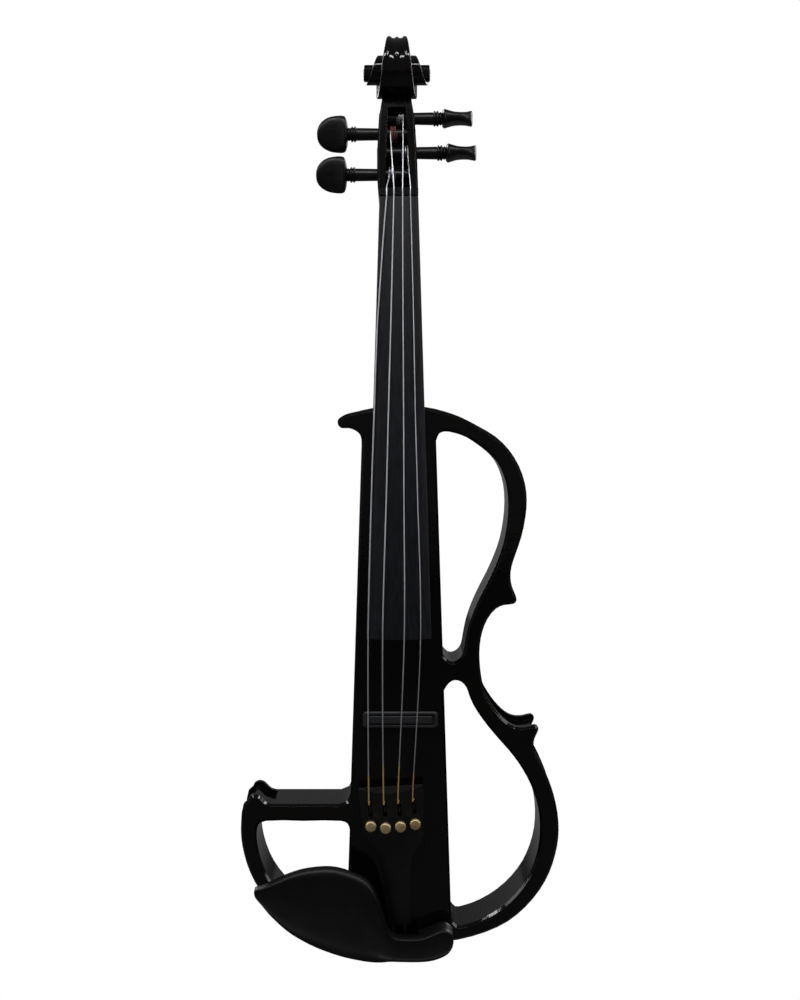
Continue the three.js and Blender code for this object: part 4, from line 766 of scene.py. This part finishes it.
def volute_ring(place):
    """One section across the volute, that many quarter turns from the throat, with its two flutes."""
    angle = math.pi / 2 * (place - 1)
    last = len(VOLUTE_RADII) - 1
    outer = SCROLL_RADIUS * eased(VOLUTE_RADII, place)
    inner = SCROLL_EYE / 2
    if place + WHOLE_TURN <= last:
        inner = SCROLL_RADIUS * eased(VOLUTE_RADII, place + WHOLE_TURN) - TURN_OVERLAP
    half = SCROLL_HALF_WIDTH * eased(VOLUTE_WIDTHS, place)
    fade = 1 - reached(FLUTE_END, place)
    section = [(inner, half)]
    for k in range(CORNER_STEPS + 1):
        turn = math.pi / 2 * k / CORNER_STEPS
        section.append((outer - SCROLL_CORNER * (1 - math.sin(turn)),
                        half - SCROLL_CORNER * (1 - math.cos(turn))))
    for k in range(FLUTE_STEPS):
        drop = FLUTE_DEPTH * math.sin(math.pi * k / FLUTE_STEPS) ** FLUTE_FULLNESS
        section.append((outer - fade * drop, (half - SCROLL_CORNER - FLUTE_RIM) * (1 - k / FLUTE_STEPS)))
    ridge = (outer - fade * FLUTE_DEPTH * RIDGE_DROP, 0.0)
    both = [*section, ridge, *((radius, -across) for radius, across in reversed(section))]
    return [at(across, SCROLL_DEPTH + radius * math.cos(angle), SCROLL_HEIGHT + radius * math.sin(angle))
            for radius, across in both]


def fluted_scroll():
    """The volute with its eye, which ends in a button on each side."""
    steps = (len(VOLUTE_RADII) - 1) * VOLUTE_STEPS
    volute = lofted([volute_ring(k / VOLUTE_STEPS) for k in range(steps + 1)])
    width = 2 * SCROLL_HALF_WIDTH
    button = [(along, SCROLL_EYE * share) for along, share in EYE_BUTTON]
    profile = [*button, *((width - along, radius) for along, radius in reversed(button))]
    eye = spun(profile, at(-SCROLL_HALF_WIDTH, SCROLL_DEPTH, SCROLL_HEIGHT), Vector((1, 0, 0)))
    return joined(volute, eye)


class VIOLIN_OT_neck(bpy.types.Operator):
    """Makes the neck with its pegbox and scroll, the fingerboard, the nut and the saddle"""
    bl_idname = "violin.neck"
    bl_label = "Neck"

    def execute(self, context):
        neck = cut_off(merged_copy("neck_and_scroll"), THROAT_CUT)
        bevelled(neck, cheek_edges(neck), CHEEK_ROUND, CHEEK_SEGMENTS)
        round_edges(neck, PEGBOX_ROUND, 2, PEGBOX_SHARP)
        weigh_normals(new_piece("neck_and_pegbox", head_shifted(neck), polyester_lacquer,
                                "violin_body", ("neck_and_scroll",)))
        scroll = cut_off(fluted_scroll(), SCROLL_FOOT, -1)
        new_piece("fluted_scroll", head_shifted(scroll), polyester_lacquer, "violin_body",
                  ("neck_and_scroll",))
        board = merged_copy("fingerboard")
        round_edges(board, BOARD_ROUND, 2)
        new_piece("ebony_fingerboard", board, dyed_ebony, "violin_body", ("fingerboard",),
                  BOARD_SMOOTH)
        dressed("nut", "string_nut", turned_ebony, width=0.1, segments=1)
        dressed("saddle", "tail_saddle", turned_ebony, width=0.5)
        return {"FINISHED"}


def thumb_ring(along, wide, thick):
    """One section across a peg's thumb, on a peg that lies along X with its thumb lying flat."""
    ring = []
    for k in range(THUMB_SIDES):
        angle = math.tau * k / THUMB_SIDES
        c, s = math.cos(angle), math.sin(angle)
        bulge = (abs(c) ** THUMB_SQUARENESS + abs(s) ** THUMB_SQUARENESS) ** (-1 / THUMB_SQUARENESS)
        across = wide * THUMB_HALF_WIDTH * c * bulge
        ring.append(Vector((along, across, thick * THUMB_HALF_THICKNESS * s * bulge)) * MM)
    return ring


def peg_shape(peg):
    """A turned peg with its beads and its thumb, in its bearings in the cheeks."""
    collar = peg["reach"] - PEG_COLLAR
    profile = [(0, 0), (0, PEG_TIP_RADIUS - PEG_TIP_CHAMFER), (PEG_TIP_CHAMFER, PEG_TIP_RADIUS)]
    profile += [(peg["tip"] + collar + along, radius) for along, radius in PEG_BEADS]
    profile.append((profile[-1][0], 0))
    shaft = spun(profile, Vector((-peg["tip"], 0, 0)) * MM, Vector((1, 0, 0)))
    shares = smooth_through([Vector(row) for row in THUMB_SHARES], THUMB_STEPS)
    thumb = lofted([thumb_ring(peg["reach"] + along * THUMB_LENGTH, wide, thick)
                    for along, wide, thick in shares])
    whole = joined(shaft, thumb)
    turned = Matrix.Rotation(math.radians(peg["turned"]), 4, "X")
    faced = Matrix.Rotation(math.pi if peg["side"] < 0 else 0, 4, "Z")
    whole.transform(Matrix.Translation(at(0, peg["depth"], peg["height"])) @ faced @ turned)
    return whole


class VIOLIN_OT_pegs(bpy.types.Operator):
    """Turns the four pegs"""
    bl_idname = "violin.pegs"
    bl_label = "Pegs"

    def execute(self, context):
        for string in STRINGS:
            new_piece("tuning_peg_" + string, peg_shape(PEGS[string]), turned_ebony, string + "_peg",
                      ("peg_" + string,))
        return {"FINISHED"}


def winding_route(peg):
    """The middle line of a string's turns round its peg, which start at the front, on the thumb's side."""
    radius = PEG_RADIUS + GAP + peg["wire"] / 2
    points = []
    for k in range(WINDING_TURNS * WINDING_STEPS + 1):
        angle = math.tau * k / WINDING_STEPS
        points.append(at(peg["side"] * (peg["start"] - WINDING_PITCH * k / WINDING_STEPS),
                         peg["depth"] - radius * math.cos(angle), peg["height"] + radius * math.sin(angle)))
    return points


def string_route(string):
    """The middle line of a slack string, from its peg over the nut and the board to its tuner."""
    peg = PEGS[string]
    wire = peg["wire"]
    clear = wire / 2 + GAP
    side = NUT_SIDES[string]
    across = peg["side"] * peg["start"]
    front = peg["depth"] - PEG_RADIUS - 2 * GAP - 1.5 * wire
    route = [at(across, front, peg["height"] + rise) for rise in STRING_LEAD]
    over_nut = -board_front(BOARD_TOP) - NUT_RISE + crown_drop(side) - GAP
    route.append(at(side, over_nut, BOARD_TOP + NUT_LENGTH + wire))
    route.append(at(side, over_nut, BOARD_TOP))
    board = [at(x, -board_front(h) + crown_drop(x) - clear, h) for h, x in ROUTES[string]]
    x = tuner_across(string)
    tail = [on_tail(x, tail_surface(x, h) - GAP - wire, h)
            for h in (TAIL_LENGTH + GAP, SLOT_HEIGHT + SLOT_LENGTH / 2 - GAP - wire)]
    return route, board, tail


def wire_piece(name, points, diameter, make, body, replaced=()):
    """A string, its turns or its silk as a round piece along its middle line."""
    return new_piece(name, tube(points, diameter), make, body, replaced, WIRE_SMOOTH)


class VIOLIN_OT_strings(bpy.types.Operator):
    """Makes the strings with their silk ends and their turns round the pegs"""
    bl_idname = "violin.strings"
    bl_label = "Strings"

    def execute(self, context):
        looks = context.scene.violin_looks
        for string in STRINGS:
            wire = PEGS[string]["wire"]
            turns_finish = red_silk if string == "d" else ribbon_steel
            wire_piece("peg_winding_" + string, winding_route(PEGS[string]), wire, turns_finish,
                       string + "_peg", ("winding_" + string,))
            route, board, tail = string_route(string)
            whole = [*route, *smooth_through([route[-1], *board, *tail], STRING_STEPS)[1:]]
            wire_piece("wound_string_" + string, whole, wire, ribbon_steel,
                       "violin_body", ("string_" + string,))
            silk = [p for p in whole if p.z < tail[0].z + SILK_RISE[string] * looks.silk_scale * MM]
            wire_piece("string_silk_" + string, silk, wire + SILK_THICKNESS, golden_silk, "violin_body")
        return {"FINISHED"}


def tailpiece_shell():
    """The tailpiece with its top edge cut to a shallow arc."""
    bm = merged_copy("tailpiece")
    middle = on_tail(0, 0, TAIL_LENGTH)
    along = (middle - on_tail(0, 0, 0)).normalized()
    for vert in bm.verts:
        place = vert.co - middle
        if abs(place.dot(along)) < TAIL_EDGE * MM:
            share = (place - along * place.dot(along)).x / (TAIL_TOP_HALF * MM)
            vert.co -= along * (TAIL_SAG * MM * max(0.0, 1 - share * share))
    round_edges(bm, TAIL_ROUND, 2)
    return bm


def tuner_screw(string):
    """A turned screw with a flat head, a groove round it and a plain shank."""
    x = tuner_across(string)
    front = tail_surface(x, TUNER_HEIGHT) - TUNER_RISE[string] - TUNER_HEAD_LENGTH
    length = TUNER_RISE[string] + TUNER_HEAD_LENGTH + TAIL_WALL
    profile = [*TUNER_HEAD, (TUNER_HEAD_LENGTH, TUNER_SHANK), (length, TUNER_SHANK), (length, 0)]
    return spun(profile, on_tail(x, front, TUNER_HEIGHT), Vector((0, 1, 0)), TUNER_SIDES)


class VIOLIN_OT_tailpiece(bpy.types.Operator):
    """Makes the tailpiece with its four fine tuners, its tailgut and the endpin"""
    bl_idname = "violin.tailpiece"
    bl_label = "Tailpiece"

    def execute(self, context):
        weigh_normals(new_piece("tailpiece_shell", tailpiece_shell(), moulded_composite,
                                "violin_body", ("tailpiece",)))
        for string in STRINGS:
            new_piece("fine_tuner_screw_" + string, tuner_screw(string), turned_brass,
                      string + "_tuner", ("tuner_screw_" + string,))
            dressed("tuner_lever_" + string, "fine_tuner_lever_" + string, blackened_steel,
                    width=0.1, segments=1)
        dressed("tailgut", "tailgut_loop", nylon_line, width=0)
        dressed("endpin", "turned_endpin", turned_ebony, width=0.2)
        return {"FINISHED"}


class VIOLIN_OT_pickup(bpy.types.Operator):
    """Makes the pickup that the bridge stands on"""
    bl_idname = "violin.pickup"
    bl_label = "Pickup"

    def execute(self, context):
        dressed("pickup_frame", "pickup_surround", moulded_abs, width=0.25)
        dressed("pickup_bar", "pickup_sensor_bar", moulded_abs, width=0.25)
        return {"FINISHED"}


def chin_ring(station):
    """One section of the chin rest: its dished front, its rolled edges and its back."""
    along, low, high, front = station
    x = CHIN_MIDDLE + along * CHIN_HALF_LENGTH
    lower, upper = (share * CHIN_BREADTH - CHIN_DROP for share in (low, high))
    breadth = upper - lower
    top = -mix(CHIN_SEAT, CHIN_RIM, front)
    dish = min(CHIN_DISH, breadth * 0.1)
    edge = min(CHIN_PLATE * 0.35, breadth * 0.3)
    seated, arm = reached(CHIN_SEATED, along), reached(CHIN_ARM, along)
    plate_back = top + CHIN_PLATE
    under = mix(plate_back, -CHIN_SEAT, seated)

    def back_low(share):
        height = mix(lower, upper, share)
        return mix(height, max(height, CHIN_BACK_LOW), seated)

    face = [(top + dish * sunk, mix(lower, upper, share)) for share, sunk in CHIN_FACE]
    back = [(mix(plate_back, under, mix(*row[:2], arm)), mix(lower, upper, mix(*row[2:], arm)))
            for row in CHIN_BACK]
    section = [
        (under, back_low(0.12)), (under - edge, back_low(0)), (top + edge, lower), *face, (top + edge, upper),
        (top + CHIN_PLATE * 0.8, mix(lower, upper, 0.98)), *back,
    ]
    room = CHIN_TAIL_DEPTH if abs(x) < CHIN_TAIL_ROOM else -CHIN_SEAT
    return [at(x, min(p.x, room), p.y) for p in smooth_through([Vector(pair) for pair in section], 4, True)]


def chin_plate():
    """The chin rest's moulded plate, with room behind it for the tailpiece."""
    stations = smooth_through([Vector(row) for row in CHIN_SHARES], CHIN_STEPS)
    for side in (-1, 1):
        for shift in (-CHIN_ROOM_STEP, CHIN_ROOM_STEP):
            place = (side * CHIN_TAIL_ROOM + shift - CHIN_MIDDLE) / CHIN_HALF_LENGTH
            after = next(k for k, row in enumerate(stations) if row[0] > place)
            low, high = stations[after - 1], stations[after]
            stations.insert(after, low.lerp(high, (place - low[0]) / (high[0] - low[0])))
    return lofted([chin_ring(row) for row in stations])


class VIOLIN_OT_chin_rest(bpy.types.Operator):
    """Makes the chin rest with its cork pads and its clamp"""
    bl_idname = "violin.chin_rest"
    bl_label = "Chin rest"

    def execute(self, context):
        new_piece("chin_rest_plate", chin_plate(), moulded_composite, "violin_body",
                  ("chin_rest",), CHIN_SMOOTH)
        for side in ("left", "right"):
            pad = cut_off(merged_copy("chin_pad_" + side), CHIN_PAD_TOP)
            round_edges(pad, CHIN_PAD_ROUND, 2)
            new_piece("cork_pad_" + side, pad, pressed_cork, "violin_body", ("chin_pad_" + side,))
            dressed("clamp_hook_" + side, "clamp_rod_" + side, chrome_plate, width=0)
            dressed("clamp_barrel_" + side, "clamp_sleeve_" + side, chrome_plate, width=0.1)
        dressed("clamp_foot", "clamp_back_foot", chrome_plate, width=0.2)
        dressed("clamp_foot_pad", "cork_pad_back", pressed_cork)
        return {"FINISHED"}


class VIOLIN_OT_electronics(bpy.types.Operator):
    """Makes the battery bay, the preamp with its controls, and the two sockets"""
    bl_idname = "violin.electronics"
    bl_label = "Electronics"

    def execute(self, context):
        dressed("battery", "nine_volt_battery", battery_wrapper)
        for side in ("left", "right"):
            dressed("battery_contact_" + side, "battery_snap_" + side, plated_contacts,
                    width=0.2, segments=1)
        dressed("battery_door", "battery_lid_leaf", moulded_abs, width=0.2)
        dressed("preamp_panel", "preamp_face", moulded_abs, width=0.2)
        dressed("preamp_board", "preamp_circuit", solder_mask, width=0)
        for control, name in (("volume_knob", "volume_control_knob"), ("tone_knob", "tone_control_knob"),
                              ("power_switch", "power_slide_button")):
            dressed(control, name, moulded_abs, width=0.15, segments=1)
        dressed("output_jack", "output_socket_sleeve", nickel_plate, width=0.2)
        dressed("headphone_jack", "headphone_socket_sleeve", nickel_plate, width=0.15)
        return {"FINISHED"}


def soft_lamp(name, place, aim, size, watts):
    """Adds a soft box that faces a point."""
    lamp = bpy.data.lights.new(name, "AREA")
    lamp.shape = "RECTANGLE"
    lamp.size, lamp.size_y = size
    lamp.energy = watts
    holder = linked(name, lamp)
    holder.location = place
    holder.rotation_euler = (Vector(aim) - Vector(place)).to_track_quat("-Z", "Y").to_euler()


def seen_as_background(material, mirrored):
    """1 where the camera or glass sees the background, and the given share where a gloss mirrors it."""
    path = add_node(material, "LightPath")
    straight = {0: path.outputs["Is Camera Ray"], 1: path.outputs["Is Transmission Ray"]}
    seen = add_node(material, "Math", links=straight, operation="MAXIMUM")
    gloss = add_node(material, "Math", {1: mirrored}, {0: path.outputs["Is Glossy Ray"]},
                     operation="MULTIPLY")
    both = add_node(material, "Math", links={0: seen.outputs["Value"], 1: gloss.outputs["Value"]},
                    operation="MAXIMUM")
    return both.outputs["Value"]


def painted_floor(stage):
    """Matt floor paint that the camera sees as white."""
    material = emptied(bpy.data.materials.new("painted_floor"))
    paint = add_node(material, "BsdfDiffuse", {"Color": [*stage.floor_colour, 1.0]})
    glow = add_node(material, "Emission", {"Color": WHITE, "Strength": 1.0})
    seen = seen_as_background(material, stage.mirrored_white)
    both = add_node(material, "MixShader", links={0: seen, 1: paint.outputs[0], 2: glow.outputs[0]})
    add_node(material, "OutputMaterial", links={"Surface": both.outputs[0]})
    return material


def studio_floor(stage):
    """The floor, some way below the hanging violin."""
    bm = bmesh.new()
    bmesh.ops.create_grid(bm, x_segments=1, y_segments=1, size=FLOOR_HALF)
    bmesh.ops.translate(bm, verts=bm.verts, vec=(0, 0, CAD_BOX[0][2] - stage.floor_drop))
    mesh = mesh_of("studio_floor", bm)
    mesh.materials.append(painted_floor(stage))
    return linked("studio_floor", mesh)


def studio_world(stage):
    """An even room light that the camera sees as white."""
    world = emptied(bpy.data.worlds.new("studio"))
    room = add_node(world, "Background", {"Color": WHITE, "Strength": stage.room_light})
    white = add_node(world, "Background", {"Color": WHITE, "Strength": 1.0})
    seen = seen_as_background(world, stage.mirrored_white)
    both = add_node(world, "MixShader", links={0: seen, 1: room.outputs[0], 2: white.outputs[0]})
    add_node(world, "OutputWorld", links={"Surface": both.outputs[0]})
    return world


def photo_camera(stage):
    """The camera at the photo's place, pitched a little down."""
    lens = bpy.data.cameras.new("photo_camera")
    lens.lens = stage.lens
    lens.sensor_width = SENSOR_WIDTH
    camera = linked("photo_camera", lens)
    camera.location = stage.camera_place
    camera.rotation_euler = (stage.camera_pitch, 0, 0)
    return camera


class VIOLIN_OT_stage(bpy.types.Operator):
    """Sets the pale floor, the soft lamps and the camera"""
    bl_idname = "violin.stage"
    bl_label = "Stage"

    def execute(self, context):
        scene = context.scene
        stage = scene.violin_stage
        floor = studio_floor(stage)
        scene.world = studio_world(stage)
        for name, lamp in LAMPS.items():
            soft_lamp(name, *lamp)
        scene.camera = photo_camera(stage)
        scene.view_settings.view_transform = "Standard"
        return {"FINISHED"}


OPERATORS = (VIOLIN_OT_stage, VIOLIN_OT_body, VIOLIN_OT_neck, VIOLIN_OT_pegs, VIOLIN_OT_strings,
             VIOLIN_OT_tailpiece, VIOLIN_OT_pickup, VIOLIN_OT_chin_rest, VIOLIN_OT_electronics)


class VIOLIN_PT_panel(bpy.types.Panel):
    """Lists the violin's groups and their settings"""
    bl_idname = "VIOLIN_PT_panel"
    bl_label = "Electric violin"
    bl_space_type = "VIEW_3D"
    bl_region_type = "UI"
    bl_category = "Violin"

    def draw(self, context):
        for group in (context.scene.violin_looks, context.scene.violin_stage):
            for name in group.__annotations__:
                self.layout.prop(group, name)
        for operator in OPERATORS:
            self.layout.operator(operator.bl_idname)


CLASSES = (ViolinLooks, ViolinStage, *OPERATORS, VIOLIN_PT_panel)


def register():
    """Registers the classes and the two groups of settings."""
    for each in CLASSES:
        bpy.utils.register_class(each)
    bpy.types.Scene.violin_looks = PointerProperty(type=ViolinLooks)
    bpy.types.Scene.violin_stage = PointerProperty(type=ViolinStage)


def unregister():
    """Removes what register added."""
    del bpy.types.Scene.violin_stage
    del bpy.types.Scene.violin_looks
    for each in reversed(CLASSES):
        bpy.utils.unregister_class(each)


def main():
    """Builds every group in order."""
    register()
    for operator in OPERATORS:
        group, name = operator.bl_idname.split(".")
        getattr(getattr(bpy.ops, group), name)()


if __name__ == "__main__":
    main()
